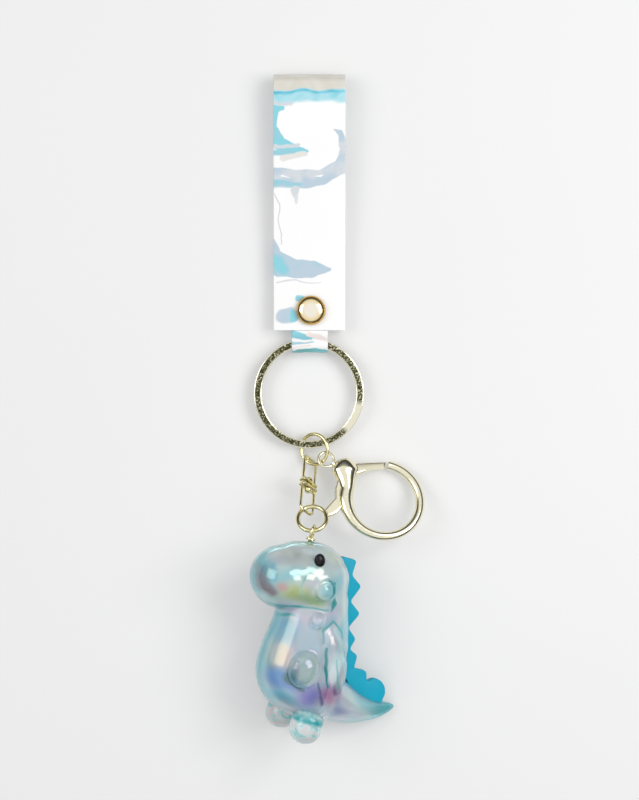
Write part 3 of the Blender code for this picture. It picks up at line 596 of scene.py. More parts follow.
def make_strap():
    def ripple(along, across):
        """Faint waves that die out at the ends, along and across as shares of the strip."""
        waves = math.sin(34 * along + 5 * across) * math.sin(math.pi * along)
        return 0.10 * MM * waves * (1 - along)

    edge = 0.16  # softness in millimetres, as the last number of each stroke is
    # Painted reflections on the strap, with white painted highlights: points across and down from
    # the fold in millimetres with half widths, then two tints and a softness.
    painted_reflections = [
        ([(-1, 1.6, 2.5), (21, 1.2, 2.5)], BEIGE, (0.74, 0.72, 0.66), edge),
        ([(-1, 6.0, 1.6), (21, 5.4, 1.6)], SKY, (0.44, 0.76, 0.84), 0.7),
        ([(-1, 4.7, 0.45), (21, 4.1, 0.45)], TEAL, (0.22, 0.66, 0.80), 0.35),
        ([(-1, 7.6, 0.7), (5, 7.7, 0.5)], LAVENDER, PEARL, 0.5),
        ([(2.4, 8.9, 0.7), (0.3, 9.6, 1.5), (0.2, 14.0, 1.0), (1.4, 18.2, 1.9),
          (6.0, 20.4, 1.3), (9.2, 20.6, 0.4)], CYAN, SKY, edge),
        ([(-0.5, 19.2, 0.5), (6.5, 19.0, 0.45)], BLUSH, PEARL, 0.25),
        ([(3.2, 22.2, 1.2), (8.6, 21.4, 0.7)], PEARL, (0.80, 0.78, 0.74), 0.3),
        ([(0.6, 20.9, 0.8), (5.4, 20.6, 0.5)], SKY, CYAN, 0.3),
        ([(16.4, 14.8, 0.2), (18.2, 15.6, 0.8), (19.6, 20.2, 1.4), (18.2, 24.8, 2.1),
          (13.0, 27.5, 2.3), (6.8, 28.2, 2.5), (0.0, 27.6, 2.9)], PEARL, LAVENDER, edge),
        ([(0.3, 29.4, 1.2), (5.5, 29.6, 0.8), (10.0, 29.4, 0.3)], CYAN, LAVENDER, 0.6),
        ([(11.0, 27.1, 0.05), (12.6, 27.1, 0.35), (13.4, 26.8, 0.05)], SNOW, WHITE, 0.12),
        ([(2.4, 27.2, 0.3), (4.0, 27.6, 0.1)], SNOW, WHITE, 0.15),
        ([(5.7, 31.0, 1.1), (6.2, 34.4, 0.4)], PEARL, (0.82, 0.80, 0.80), 0.25),
        ([(0.4, 32.0, 0.12), (1.7, 34.6, 0.15), (1.3, 39.1, 0.12), (2.1, 42.9, 0.15),
          (2.3, 45.9, 0.15)], (0.66, 0.64, 0.62), PEARL, 0.12),
        ([(0.0, 44.9, 0.5), (0.3, 48.0, 1.8), (1.2, 51.0, 3.4), (6.0, 52.2, 2.5),
          (10.6, 52.3, 2.4), (15.4, 52.5, 0.5)], CYAN, LAVENDER, edge),
        ([(0.6, 50.5, 2.0), (2.6, 52.2, 1.6)], SKY, CYAN, 0.9),
        ([(0.8, 55.9, 0.16), (6.0, 55.2, 0.2), (9.0, 56.2, 0.16), (13.2, 56.0, 0.1)],
         (0.72, 0.66, 0.64), PEARL, 0.15),
        ([(2.6, 65.0, 1.9), (4.6, 65.0, 2.2)], LAVENDER, PEARL, 0.4),
        ([(5.0, 64.2, 0.7), (5.2, 66.2, 0.9)], SKY, CYAN, 0.3),
        ([(6.4, 60.4, 0.8), (9.4, 60.2, 0.6)], CYAN, SKY, 0.3),
        ([(4.6, 69.6, 0.5), (8.0, 69.7, 0.5)], SKY, CYAN, 0.25),
        ([(13.8, 69.4, 0.6), (16.0, 69.6, 0.4)], LAVENDER, PEARL, 0.25),
    ]
    profile = strap_profile()
    width = strap_high.x - strap_low.x
    film = film_sheet(profile, width, (strap_high.x + strap_low.x) / 2, ripple=ripple)
    top = strap_high.y - 0.7 * MM
    strap = add_object(
        "strap_film", film, film_material("strap film", on_strip(painted_reflections, strap_low.x, top, -1)),
        body="strap", node="strap_loop",
    )


def make_tab():
    # Painted reflections on the tab where it rounds the split ring, with a painted highlight:
    # points across and up from its low end in millimetres.
    painted_reflections = [
        ([(0.2, 5.2, 1.0), (3.2, 4.6, 0.8), (5.4, 3.9, 0.4)], CYAN, SKY, 0.15),
        ([(4.4, 5.3, 0.7), (7.2, 4.4, 0.8), (9.9, 3.4, 0.6)],
         (0.95, 0.85, 0.78), BLUSH, 0.15),
        ([(0.0, 2.9, 0.5), (6.0, 2.7, 0.2)], LAVENDER, CYAN, 0.2),
        ([(0.8, 1.75, 0.06), (5.2, 1.8, 0.08)], (0.80, 0.46, 0.24), BLUSH, 0.08),
        ([(-0.5, 0.35, 0.55), (10.5, 0.35, 0.45)],
         (0.16, 0.50, 0.52), (0.20, 0.60, 0.66), 0.15),
    ]
    profile = tab_profile()
    width = tab_high.x - tab_low.x
    film = film_sheet(profile, width, (tab_low.x + tab_high.x) / 2, 12)
    finish = film_material("tab film", on_strip(painted_reflections, tab_low.x, tab_low.y, 1))
    tab = add_object("tab_film", film, finish, body="strap", node="ring_tab")


def make_rivet():
    finish = gold("rivet gold", (0.90, 0.66, 0.28), (0.78, 0.52, 0.18), 0.10)
    m = Nodes("rivet dome painted highlight")
    # The dome's colour is a painted highlight: near white in the middle, darkening to brown at the
    # rim as painted shade.
    share = m.math("DIVIDE", m.length(m.vector("MULTIPLY", m.place, (1, 1, 0))), RIVET_RADIUS)
    plated(m, m.ramp(share, [
        (0.35, (0.98, 0.93, 0.80)), (0.72, (0.94, 0.76, 0.42)), (0.92, (0.68, 0.42, 0.12)),
    ]), 0.08)
    r, h, z = RIVET_RADIUS, cap_high.z - cap_low.z, cap_low.z
    profile = [(r - 0.35 * MM, z), (r - 0.08 * MM, z + 0.10 * MM)]
    for degrees in range(0, 91, 9):
        a = math.radians(degrees)
        across, up = (0.34 + 0.66 * math.cos(a)) * r, (h - 0.42 * MM) * math.sin(a)
        profile.append((across, z + 0.30 * MM + up))
    profile += [(0.17 * r, z + h - 0.03 * MM), (0, z + h)]
    add_object(
        "rivet_dome", revolve(profile), m.material,
        body="strap", node="rivet_cap", angle=60,
    )
    give_finish("rivet_back", finish)


# ---- rings

RING_OUTER = 30.0 * MM
RING_BAND = 2.1 * MM
RING_TURN = 0.87 * MM
RING_TURN_GAP = 0.16 * MM
RING_START = -8.0  # degrees, where the lower turn starts
RING_RAMP = 40.0  # degrees that the step between the turns takes
RING_CLEAR = 2.0  # degrees left open at each cut end
GLINT_SIDE = math.radians(-28)  # where a painted highlight lies across the flat faces, at the step between the turns
JUMP_CUT = 0.9  # degrees, half the gap between a jump ring's ends
BEVEL = 0.06 * MM  # on the cut ends of wire
UPPER_JUMP_RADIUS = 4.15 * MM
UPPER_JUMP_WIRE = 1.06 * MM
UPPER_JUMP_TILT = 30.0
LOWER_JUMP_RADIUS = 3.85 * MM
LOWER_JUMP_WIRE = 1.2 * MM


def make_split_ring():
    centre = joint_at("ring_travel")
    middle = (RING_OUTER - RING_BAND) / 2
    rise = RING_TURN + RING_TURN_GAP
    lower = 360 - RING_RAMP - RING_CLEAR
    total = 2 * lower + RING_RAMP
    count = int(total / 2)
    path = []
    for i in range(count + 1):
        turned = total * i / count
        z = -rise / 2 + rise * smooth_step((turned - lower) / RING_RAMP)
        angle = math.radians(RING_START + turned)
        path.append(Vector((middle * math.cos(angle), middle * math.sin(angle), z)))
    inner, outer = middle - RING_BAND / 2, middle + RING_BAND / 2
    finish = ring_gold_painted_light("split ring gold", centre, inner, outer)
    band = sweep(path, rounded_rectangle(RING_BAND, RING_TURN, 0.2 * MM, 3))
    add_object(
        "split_ring_band", band, finish, Matrix.Translation(centre),
        body="ring", node="split_ring",
    )


def upper_jump_frame():
    centre = box_centre("upper_jump_ring")
    to_ring = (joint_at("ring_travel") - centre).normalized()
    across = to_ring.cross(Vector((0, 0, 1)))
    tilt = math.radians(UPPER_JUMP_TILT)
    rising = across * math.cos(tilt) + Vector((0, 0, math.sin(tilt)))
    return frame_matrix(centre, rising, to_ring)


def cut_ring(radius, wire, cut_at):
    """A jump ring of round wire with its two cut ends meeting at an angle."""
    path = arc((0, 0), radius, cut_at + JUMP_CUT, cut_at + 360 - JUMP_CUT, 120)
    ring = sweep(path, round_section(wire / 2, 20))
    round_edges(ring, cap_edges(ring), BEVEL, 2)
    return ring


def make_jump_rings(finish):
    add_object(
        "upper_ring", cut_ring(UPPER_JUMP_RADIUS, UPPER_JUMP_WIRE, 150), finish,
        upper_jump_frame(),
        body="upper_jump", node="upper_jump_ring",
    )
    centre = box_centre("lower_jump_ring")
    up_the_ring = (centre - joint_at("charm_swing")).normalized()
    across = up_the_ring.cross(Vector((0, 0, 1))).normalized()
    add_object(
        "lower_ring", cut_ring(LOWER_JUMP_RADIUS, LOWER_JUMP_WIRE, 215), finish,
        frame_matrix(centre, across, up_the_ring),
        body="lower_jump", node="lower_jump_ring",
    )


# ---- swivel link

BAIL_WIRE = 0.78 * MM
BAIL_HALF_WIDTH = 2.35 * MM
BAIL_CORNER = 1.2 * MM
BRIDGE_THICKNESS = 1.0 * MM
BRIDGE_DEPTH = 2.0 * MM
SWIVEL_GAP = 0.5 * MM
UPPER_ROLL = -48.0
PIN_RADIUS = 0.5 * MM
PIN_HEAD_RADIUS = 1.1 * MM


def make_bail(name, placement, length, finish, body, node):
    """A bow of wire with a bridge across its open end."""
    side, corner, foot = BAIL_HALF_WIDTH, BAIL_CORNER, length - BRIDGE_THICKNESS / 2
    right = [Vector((foot, side, 0)), Vector((foot / 2, side, 0))]
    right += arc((corner, side - corner), corner, 90, 180, 14)
    left = [Vector((p.x, -p.y, 0)) for p in reversed(right)]
    bow = sweep(right + left, round_section(BAIL_WIRE / 2, 20))
    half = side + BAIL_WIRE / 2
    low = Vector((length - BRIDGE_THICKNESS, -half, -BRIDGE_DEPTH / 2))
    high = Vector((length, half, BRIDGE_DEPTH / 2))
    bar = bmesh.new()
    middle = Matrix.Translation((low + high) / 2) @ Matrix.Diagonal((*(high - low), 1))
    bmesh.ops.create_cube(bar, size=1, matrix=middle)
    round_edges(bar, bar.edges[:], 0.34 * MM, 5)
    add_object(
        name, join([bow, bar]), finish, placement,
        body=body, node=node, angle=50,
    )


def make_link(finish):
    upper_at, lower_at = joint_at("swivel_spin"), joint_at("lower_ring_swing")
    along = joint_axis("swivel_spin")
    lower_side = -joint_axis("lower_ring_swing")
    level = along.cross(Vector((0, 0, 1))).normalized() * -1
    over = along.cross(level)
    roll = math.radians(UPPER_ROLL)
    upper = frame_matrix(upper_at, along, level * math.cos(roll) + over * math.sin(roll))
    lower = frame_matrix(lower_at, -along, lower_side)
    whole = (upper_at - lower_at).length
    reach = (whole - SWIVEL_GAP) / 2
    make_bail("upper_bow", upper, reach, finish, "upper_link", "upper_bail")
    make_bail("lower_bow", lower, reach, finish, "lower_link", "lower_bail")
    start = reach - BRIDGE_THICKNESS - 0.3 * MM
    head = PIN_HEAD_RADIUS
    profile = [
        (0, start - 0.9 * MM), (0.35 * head, start - 0.88 * MM), (0.75 * head, start - 0.7 * MM),
        (0.97 * head, start - 0.35 * MM), (head, start - 0.1 * MM), (head - 0.05 * MM, start),
        (PIN_RADIUS, start),
    ]
    profile += [(r, whole - z) for r, z in reversed(profile)]
    add_object(
        "swivel_pin", revolve(profile, 40), finish, upper @ turn_by(90, "Y"),
        body="lower_link", node="swivel_rivet",
    )


# ---- clasp

HOOP_X = 18.9 * MM
HOOP_RADIUS = 10.3 * MM
HOOP_WIRE = 1.25 * MM  # radius
HOOP_TIP, HOOP_ROOT = 116.5, -157  # degrees
HOOP_SWELL = 0.80 * MM  # how much thicker the hoop is at its root
BULB = (6.05 * MM, 0.45 * MM)
BULB_RADIUS = 3.65 * MM
BULB_HALF_DEPTH = 2.6 * MM
HUB_RADIUS = 2.0 * MM
EYE_RADIUS = 2.1 * MM
EYE_WIRE = 0.76 * MM
NECK_RADIUS = 0.62 * MM
GATE_HALF = 0.95 * MM
LEVER_WIDTH = 1.2 * MM
LEVER_GAP = 0.6 * MM  # between the lever and the hoop
GATE_TIP = 119.6  # degrees round the hoop
CLASP_LENGTH_AXIS = (0.815, -0.580, 0.085)


def clasp_frame():
    up = -joint_axis("gate_open")
    x_axis = Vector(CLASP_LENGTH_AXIS).normalized()
    rotation = frame_matrix((0, 0, 0), x_axis, up.cross(x_axis))
    origin = joint_at("gate_open") - rotation @ Vector((*BULB, 0))
    return Matrix.Translation(origin) @ rotation


def bulb_drop(neck, leaving):
    """The root's centreline on to the bulb and round its far end, with the radii there."""
    bulb = Vector((*BULB, 0))
    pulls = (neck, neck + leaving * 1.7 * MM, bulb + Vector((1.0, -1.2, 0)) * MM, bulb)
    root = HOOP_WIRE + HOOP_SWELL
    points, radii = [], []
    for i in range(1, 17):
        share = i / 16
        left = 1 - share
        weights = (left**3, 3 * left**2 * share, 3 * left * share**2, share**3)
        points.append(sum((point * weight for point, weight in zip(pulls, weights)), Vector()))
        radii.append(root + (BULB_RADIUS - root) * share**1.5)
    toward = (points[-1] - points[-2]).normalized()
    for degrees in (10, 20, 30, 40, 50, 60, 70, 78, 84, 88):
        a = math.radians(degrees)
        points.append(bulb + toward * BULB_RADIUS * math.sin(a))
        radii.append(BULB_RADIUS * math.cos(a))
    return points, radii


def make_clasp(finish):
    """The hoop thickens into the bulb, which a short neck joins to the eye."""
    wire = HOOP_WIRE
    hoop = arc((HOOP_X, 0), HOOP_RADIUS, HOOP_TIP, HOOP_ROOT, 150)
    drop, radii = bulb_drop(hoop[-1], (hoop[-1] - hoop[-2]).normalized())
    radii = [wire] * 106 + [wire + HOOP_SWELL * smooth_step(i / 44) for i in range(1, 46)] + radii
    flatness = BULB_HALF_DEPTH / BULB_RADIUS
    scales = []
    for radius in radii:
        share = smooth_step((radius - wire) / (BULB_RADIUS - wire))
        scales.append((radius / wire, radius / wire * (1 + (flatness - 1) * share)))
    body = sweep(hoop + drop, round_section(wire, 32), scales=scales)
    round_edges(body, cap_edges(body), BEVEL, 2)
    eye = wire_loop(EYE_RADIUS, EYE_WIRE / 2, 120, 16)
    start = EYE_RADIUS - 0.2 * MM
    path = [Vector((start + 0.3 * MM * i, (0.1 + 0.0375 * i) * MM, 0)) for i in range(9)]
    waist = [(1.0 + 0.9 * (abs(i - 3.2) / 5) ** 2,) * 2 for i in range(9)]
    neck = sweep(path, round_section(NECK_RADIUS, 20), scales=waist)
    placement = clasp_frame()
    add_object(
        "clasp_hoop", join([body, eye, neck]), finish, placement,
        body="clasp", node="clasp_body", angle=55,
    )
    add_object(
        "clasp_lever", plate(gate_outline(), GATE_HALF, 0.42 * MM, 4), finish, placement,
        body="gate", node="clasp_gate", angle=50,
    )
    give_finish("clasp_pin", finish)
    give_finish("clasp_spring", finish)


def gate_outline():
    """The gate, its hub and the thumb lever in one flat outline."""
    hoop = (HOOP_X, 0)
    inside, outside = HOOP_RADIUS - HOOP_WIRE, HOOP_RADIUS + HOOP_WIRE + LEVER_GAP
    points = arc(hoop, inside + 0.1 * MM, 158, 122.0, 30)
    points += arc(hoop, 10.85 * MM, GATE_TIP, GATE_TIP, 1)[:1]
    points.append(Vector((7.6, 4.2, 0)) * MM)
    points += arc(BULB, HUB_RADIUS, 100, 195, 14)
    points += arc(hoop, outside + LEVER_WIDTH, -170, -154, 8)
    points += [Vector((8.3, -8.0, 0)) * MM, Vector((8.0, -10.3, 0)) * MM]
    points += arc((9.15 * MM, -12.2 * MM), 1.25 * MM, 180, 320, 14)
    points.append(Vector((11.0, -11.4, 0)) * MM)
    points += arc(hoop, outside, -129, -166, 22)
    points += arc(BULB, HUB_RADIUS, -60, -20, 6)
    return points


# ---- dinosaur

SCREW_X = 10.0 * MM
SCREW_EYE_Z = 50.0 * MM
HEAD_TOP_Z = 47.6 * MM
FOOT_SPREAD = 8.5 * MM
FOOT_RADIUS = 4.3 * MM
DINO_LEFT = Vector((0.385, -0.12, 0.915))
DINO_UP = Vector((0.276, 0.961, 0.0))
WALL = 1.3  # millimetres
TAIL_WALL = 1.4
EYE_SLACK = 0.3 * MM  # from the screw eye's centre to the axis that it hangs on


def dino_frame():
    turn = frame_matrix((0, 0, 0), DINO_LEFT.cross(DINO_UP), DINO_LEFT)
    hung = Vector((SCREW_X, 0, SCREW_EYE_Z + EYE_SLACK))
    return Matrix.Translation(joint_at("charm_swing") - turn @ hung) @ turn


DINO = dino_frame()

# Torso sections from the bottom up, in millimetres: height, middle, half depth, half width
TORSO = [
    (1.4, -0.5, 3.0, 3.5), (2.0, -0.3, 6.2, 6.6), (3.6, 0.2, 9.0, 8.8), (6.0, 1.0, 10.8, 10.0),
    (9.5, 1.9, 11.9, 10.7), (14.0, 2.4, 12.2, 10.8), (18.5, 2.6, 11.9, 10.6),
    (22.5, 2.6, 11.3, 10.2), (26.5, 3.0, 10.5, 9.7), (31.0, 3.8, 9.9, 9.3),
    (36.0, 5.0, 9.4, 9.0), (40.0, 6.5, 8.0, 8.0),
]
# Tail sections from the root back, in millimetres: x, height of middle, half height, half width
TAIL = [
    (-1.0, 9.0, 7.0, 7.6), (-7.5, 8.2, 6.7, 7.0), (-12.5, 7.2, 5.6, 5.8), (-17.0, 6.6, 4.2, 4.4),
    (-21.0, 6.9, 3.1, 3.3), (-24.5, 7.9, 2.2, 2.4), (-27.2, 9.1, 1.2, 1.4), (-28.3, 9.6, 0.4, 0.5),
]
CRANIUM = ((7.0, 0.0, 37.6), (10.8, 10.4, 10.1), 0.0)
SNOUT = ((14.4, 0.0, 36.5), (9.3, 9.5, 8.6), 0.0)
KNEE = ((5.4, 8.9, 15.0), (4.4, 3.8, 5.3), 0.0)
HAUNCH = ((-1.8, 7.9, 19.4), (4.1, 3.3, 9.6), 27.0)
SHANK = ((-4.4, 8.6, 14.6), (1.6, 2.2, 5.4), 27.0)
BRIDGE = ((10.8, 0.0, 37.3), (9.6, 9.9, 9.7), 0.0)
ARM = ((5.6, 8.6, 28.2), (2.3, 2.6, 2.3), 0.0)
CHEEK = ((6.3, 8.8, 36.6), (2.5, 2.5, 2.6), 0.0)


def section_loft(stations, placed, steps=72):
    """A skin over sections, where placed gives a station's point at an angle, in millimetres."""
    bm = bmesh.new()
    angles = [2 * math.pi * (i + 0.5) / steps for i in range(steps)]
    add_skin(bm, [
        [bm.verts.new(Vector(placed(station, a)) * MM) for a in angles] for station in stations
    ])
    return bm


def torso(grow=0.0, stations=TORSO):
    def placed(station, angle):
        z, middle, deep, wide = station
        return middle + (deep + grow) * math.cos(angle), (wide + grow) * math.sin(angle), z

    return section_loft(smooth_line(stations, 5), placed)


def tail(grow=0.0, stations=TAIL):
    def placed(station, angle):
        x, middle, tall, wide = station
        return x, (wide + grow) * math.sin(angle), middle + (tall + grow) * math.cos(angle)

    return section_loft(smooth_line(stations, 6), placed)


def rounded(shape, grow=0.0, side=1):
    (x, y, z), radii, tilt = shape
    return ellipsoid((x, side * y, z), [r + grow for r in radii], tilt)


def both_sides(shape):
    return [rounded(shape), rounded(shape, side=-1)]


def curl(side):
    """A raised ring round each mouth corner, lying on the cheek."""
    ring = wire_loop(2.3 * MM, 0.5 * MM, 36, 10)
    ring.transform(Matrix.Translation(Vector((6.3, side * 10.3, 36.6)) * MM) @ turn_by(90, "X"))
    return ring


def body_skin():
    forms = [torso(), tail(), rounded(CRANIUM), rounded(SNOUT), rounded(BRIDGE)]
    base = fused(forms, 0.45 * MM, 24)
    details = [part for shape in (KNEE, HAUNCH, SHANK, ARM, CHEEK) for part in both_sides(shape)]
    return fused([base] + details + [curl(1), curl(-1)], 0.30 * MM, 3)


def cavity_skin():
    head = [rounded(shape, -WALL) for shape in (CRANIUM, SNOUT, BRIDGE)]
    return fused([torso(-WALL, TORSO[2:-1]), tail(-TAIL_WALL, TAIL[:5])] + head, 0.5 * MM, 22)


def half_shell(outer, inner, side):
    """One half of the hollow body, with a flat joint at the middle plane."""
    bm = bmesh.new()
    for source, flip in ((outer, False), (inner, True)):
        mesh = bpy.data.meshes.new("half")
        source.to_mesh(mesh)
        before = len(bm.faces)
        bm.from_mesh(mesh)
        bpy.data.meshes.remove(mesh)
        if flip:
            bm.faces.ensure_lookup_table()
            bmesh.ops.reverse_faces(bm, faces=bm.faces[before:])
    cut = bmesh.ops.bisect_plane(
        bm, geom=bm.verts[:] + bm.edges[:] + bm.faces[:], clear_outer=True, dist=1e-7,
        plane_co=(0, side * 0.05 * MM, 0), plane_no=(0, -side, 0),
    )
    rim = [e for e in cut["geom_cut"] if isinstance(e, bmesh.types.BMEdge)]
    bmesh.ops.triangle_fill(bm, use_beauty=True, edges=rim)
    return bm


SHIFT = 3  # millimetres that the warp moves the marks by on average


def body_plastic(name):
    """Clear plastic with a pearly coat whose colour drifts over the body, with painted highlights
    and painted teal edge shade laid on it.
    """
    m = Nodes(name)
    plain = m.place
    stance = {"Vector": plain, "Location": DINO.translation, "Rotation": DINO.to_euler()}
    local = m.add("Mapping", stance, "Vector", vector_type="TEXTURE")
    warp = m.scaled(m.noise(70, 2, output="Color"), 2 * SHIFT * MM)
    m.place = m.vector("ADD", local, warp)
    drift = m.noise(60, 1, 0.6)
    colour = m.ramp(drift, [
        (0.30, (0.48, 0.86, 0.93)), (0.42, (0.84, 0.97, 0.97)), (0.52, (0.87, 0.86, 0.98)),
        (0.60, (0.68, 0.88, 0.99)), (0.72, (0.98, 0.95, 0.86)),
    ])

    def patch(x, y, z, rx, ry, rz, tint, softness=0.8):
        """A tinted ellipsoid: its centre and half sizes in millimetres."""
        nonlocal colour
        centre = Vector((x + SHIFT, y + SHIFT, z + SHIFT)) * MM
        colour = m.mix(m.spot(centre, Vector((rx, ry, rz)) * MM, softness), colour, tint)

    def line(points, tint, softness=0.25):
        """A tinted line on the body's sides, in millimetres forward and up with half widths."""
        nonlocal colour
        shifted = [((x + SHIFT) * MM, (z + SHIFT) * MM, r * MM) for x, z, r in points]
        colour = m.mix(stroke(m, shifted, softness * MM, "XZ"), colour, tint)

    teal, deep = (0.16, 0.64, 0.66), (0.05, 0.46, 0.48)
    # A teal patch over the snout's front edge: painted edge shade.
    patch(24, 3, 36, 5, 14, 9, (0.14, 0.66, 0.78))
    patch(16, 8, 43, 9, 12, 4, (0.76, 0.79, 0.76))
    patch(4, 8, 46, 8, 12, 4, (0.80, 0.88, 0.82))
    patch(19, 9, 30, 6, 8, 4, (0.62, 0.86, 0.80))
    patch(13, 9, 33.8, 7, 8, 4.4, (0.70, 0.80, 0.40))
    patch(7.5, 9, 32.8, 5, 7, 3, (0.58, 0.78, 0.46))
    patch(17.3, 9, 34.8, 2.6, 6, 2.4, (0.86, 0.58, 0.58))
    line([(23.4, 38.8, 0.8), (21.8, 34.6, 1.3), (18.2, 32.2, 1.0)], (0.50, 0.46, 0.50), 0.7)
    line([(20.4, 39.4, 0.6), (19.8, 36.6, 0.9)], (0.40, 0.80, 0.92), 0.5)
    patch(-2, 8, 38, 5, 10, 9, (0.82, 0.92, 0.90))
    patch(14, 6, 23, 7.5, 9, 6, (0.40, 0.74, 0.92))
    patch(6, 9, 21, 6, 8, 5, (0.72, 0.88, 0.96))
    # Cream painted highlights on the belly.
    line([(15.4, 18.6, 0.8), (15.4, 12.0, 1.4)], (1.0, 0.94, 0.80), 0.8)
    line([(11.6, 18.4, 0.9), (11.4, 13.8, 1.1)], (1.0, 0.90, 0.80), 0.6)
    patch(10, 8, 10.8, 6.5, 9, 4.6, (0.28, 0.54, 0.94))
    patch(10, 8, 6.5, 7, 8, 3, (0.34, 0.76, 0.92))
    patch(2, 8, 8.5, 6.5, 9, 5, (0.36, 0.36, 0.86))
    patch(-4.5, 8, 9.6, 6, 8, 5, (0.54, 0.22, 0.54), 0.7)
    line([(1.0, 12.0, 0.2), (-2.6, 6.4, 0.5)], (0.20, 0.20, 0.46), 0.5)
    patch(-9, 6, 6, 5, 8, 3, (0.56, 0.60, 0.84))
    # A teal patch over the tail's tip: painted edge shade.
    patch(-25, 0, 9, 9, 8, 5, (0.26, 0.74, 0.76))
    patch(-4, 6, 21, 4, 6, 8, (0.50, 0.82, 0.88))
    patch(6.4, 12, 15.4, 4.6, 4, 5.4, (0.66, 0.84, 0.78), 0.6)
    # Teal and dark teal lines along the outlines of the knee, face, cheek, arm and haunch: painted
    # edge shade.
    line([(9.6, 16.6, 0.2), (9.0, 11.4, 0.7), (5.0, 9.6, 0.3)], (0.16, 0.34, 0.38), 0.6)
    line([(10.8, 42.6, 0.15), (12.3, 39.2, 0.25), (12.2, 36, 0.25), (10.7, 32.8, 0.2)],
         (0.40, 0.78, 0.78), 0.3)
    line([(6.3, 39.8, 0.2), (4.0, 38.8, 0.4), (3.3, 36.4, 0.5), (4.4, 34.2, 0.2)], deep)
    line([(2.7, 35.4, 0.15), (2.3, 33.6, 0.8), (2.6, 30.8, 0.1)], (0.10, 0.56, 0.54))
    line([(19.0, 29.2, 0.25), (14, 28.4, 0.45), (3.6, 31.2, 0.25)], teal, 0.35)
    line([(14.5, 26.6, 0.3), (12.6, 26.0, 0.5), (10.2, 26.6, 0.2)], teal, 0.4)
    line([(3.6, 22.2, 0.25), (4.4, 25.0, 0.35), (1.8, 28.4, 0.3), (-2.6, 26.2, 0.25),
          (-5.2, 20, 0.2)], teal, 0.3)
    line([(2.0, 21.0, 0.35), (0.6, 16.8, 0.5), (-3.2, 11.4, 0.3)], deep, 0.3)
    line([(-2.0, 19.0, 0.2), (-5.6, 12.4, 0.3)], teal, 0.3)
    # A teal band near the middle plane, where the shell's sides turn away from above: painted edge
    # shade.
    sideways = m.add("SeparateXYZ", {0: m.place}, "Y")
    off_middle = m.math("ABSOLUTE", m.math("SUBTRACT", sideways, SHIFT * MM))
    painted_edge_shade = m.ramp(m.math("DIVIDE", off_middle, 10 * MM), [(0.04, (1, 1, 1)), (0.34, (0, 0, 0))])
    edge = m.ramp(m.noise(70, 1), [(0.40, (0.22, 0.70, 0.76)), (0.58, (0.46, 0.80, 0.80))])
    colour = m.mix(m.math("MULTIPLY", painted_edge_shade, 0.75), colour, edge)
    m.set("Base Color", colour)
    m.set("Roughness", 0.04)
    m.set("IOR", 1.36)
    m.set("Transmission Weight", m.varied(90, 1, 0.34, 0.48))
    m.set("Thin Film Thickness", m.math("ADD", m.math("MULTIPLY", drift, 260.0), 180.0))
    m.set("Thin Film IOR", 1.48)
    m.set("Coat Weight", 0.7)
    m.set("Coat Roughness", 0.02)
    m.place = plain
    m.bump(m.noise(160, 2), 0.05, 0.8 * MM)
    return m.material


def crest_outline():
    """Spikes down the back, rounded at their tips, closed by a root line inside the back."""
    spikes = [
        (-0.3, 45.6), (-4.5, 45.6), (-4.4, 41.4), (-8.0, 39.1), (-6.1, 34.5), (-9.9, 31.9),
        (-7.7, 27.4), (-10.8, 25.0), (-9.9, 21.9), (-12.7, 20.7), (-12.7, 17.1), (-16.6, 17.2),
        (-17.6, 14.2), (-19.4, 15.7), (-21.6, 15.6), (-23.3, 14.2), (-24.0, 12.4),
    ]
    back = [
        (-23.6, 10.0), (-18.6, 10.2), (-14.4, 12.2), (-11.3, 15.8), (-8.8, 21.0), (-7.4, 25.6),
        (-6.2, 30.8), (-4.8, 36.0), (-3.2, 40.6), (0.0, 43.8),
    ]
    root, tip = 1.3, 0.9  # millimetres: depth of the root line, and length of a tip's rounding
    inner = []
    for i, (x, z) in enumerate(back):
        before, after = back[max(i - 1, 0)], back[min(i + 1, len(back) - 1)]
        along = Vector((after[0] - before[0], after[1] - before[1])).normalized()
        inner.append(Vector((x + along.y * root, z - along.x * root)))
    rounded_spikes = [Vector(spikes[0])]
    for before, here, after in zip(spikes, spikes[1:], spikes[2:]):
        a, b, c = Vector(before), Vector(here), Vector(after)
        first = b + (a - b).normalized() * min(tip, (a - b).length * 0.4)
        last = b + (c - b).normalized() * min(tip, (c - b).length * 0.4)
        for k in range(7):
            t = k / 6
            rounded_spikes.append(first * (1 - t) ** 2 + b * 2 * t * (1 - t) + last * t * t)
    rounded_spikes.append(Vector(spikes[-1]))
    return [Vector((p.x * MM, p.y * MM, 0)) for p in rounded_spikes + inner]


def foot_plastic():
    """The same clear plastic, with a teal rim where the foot meets the body: painted edge shade."""
    m = Nodes("foot plastic")
    # A teal band near the foot's top rim, painted edge shade where the rim shows through the body.
    offset = m.vector("SUBTRACT", m.place, tuple(DINO.translation))
    height = m.vector("DOT_PRODUCT", offset, tuple(DINO.col[2].xyz), "Value")
    level = m.math("DIVIDE", height, 10 * MM)
    rim = m.ramp(level, [(0.10, (0, 0, 0)), (0.20, (1, 1, 1)), (0.40, (0.5, 0.5, 0.5))])
    clear = m.ramp(m.noise(420, 2, 1.2), [
        (0.36, (0.40, 0.82, 0.84)), (0.5, (0.82, 0.97, 0.96)), (0.62, (0.97, 0.84, 0.86)),
    ])
    m.set("Base Color", m.mix(rim, clear, (0.03, 0.46, 0.50)))
    m.set("Roughness", 0.04)
    m.set("IOR", 1.40)
    m.set("Transmission Weight", 0.50)
    m.set("Coat Weight", 0.6)
    m.set("Coat Roughness", 0.02)
    m.bump(m.noise(300, 2), 0.05, 0.5 * MM)
    return m.material


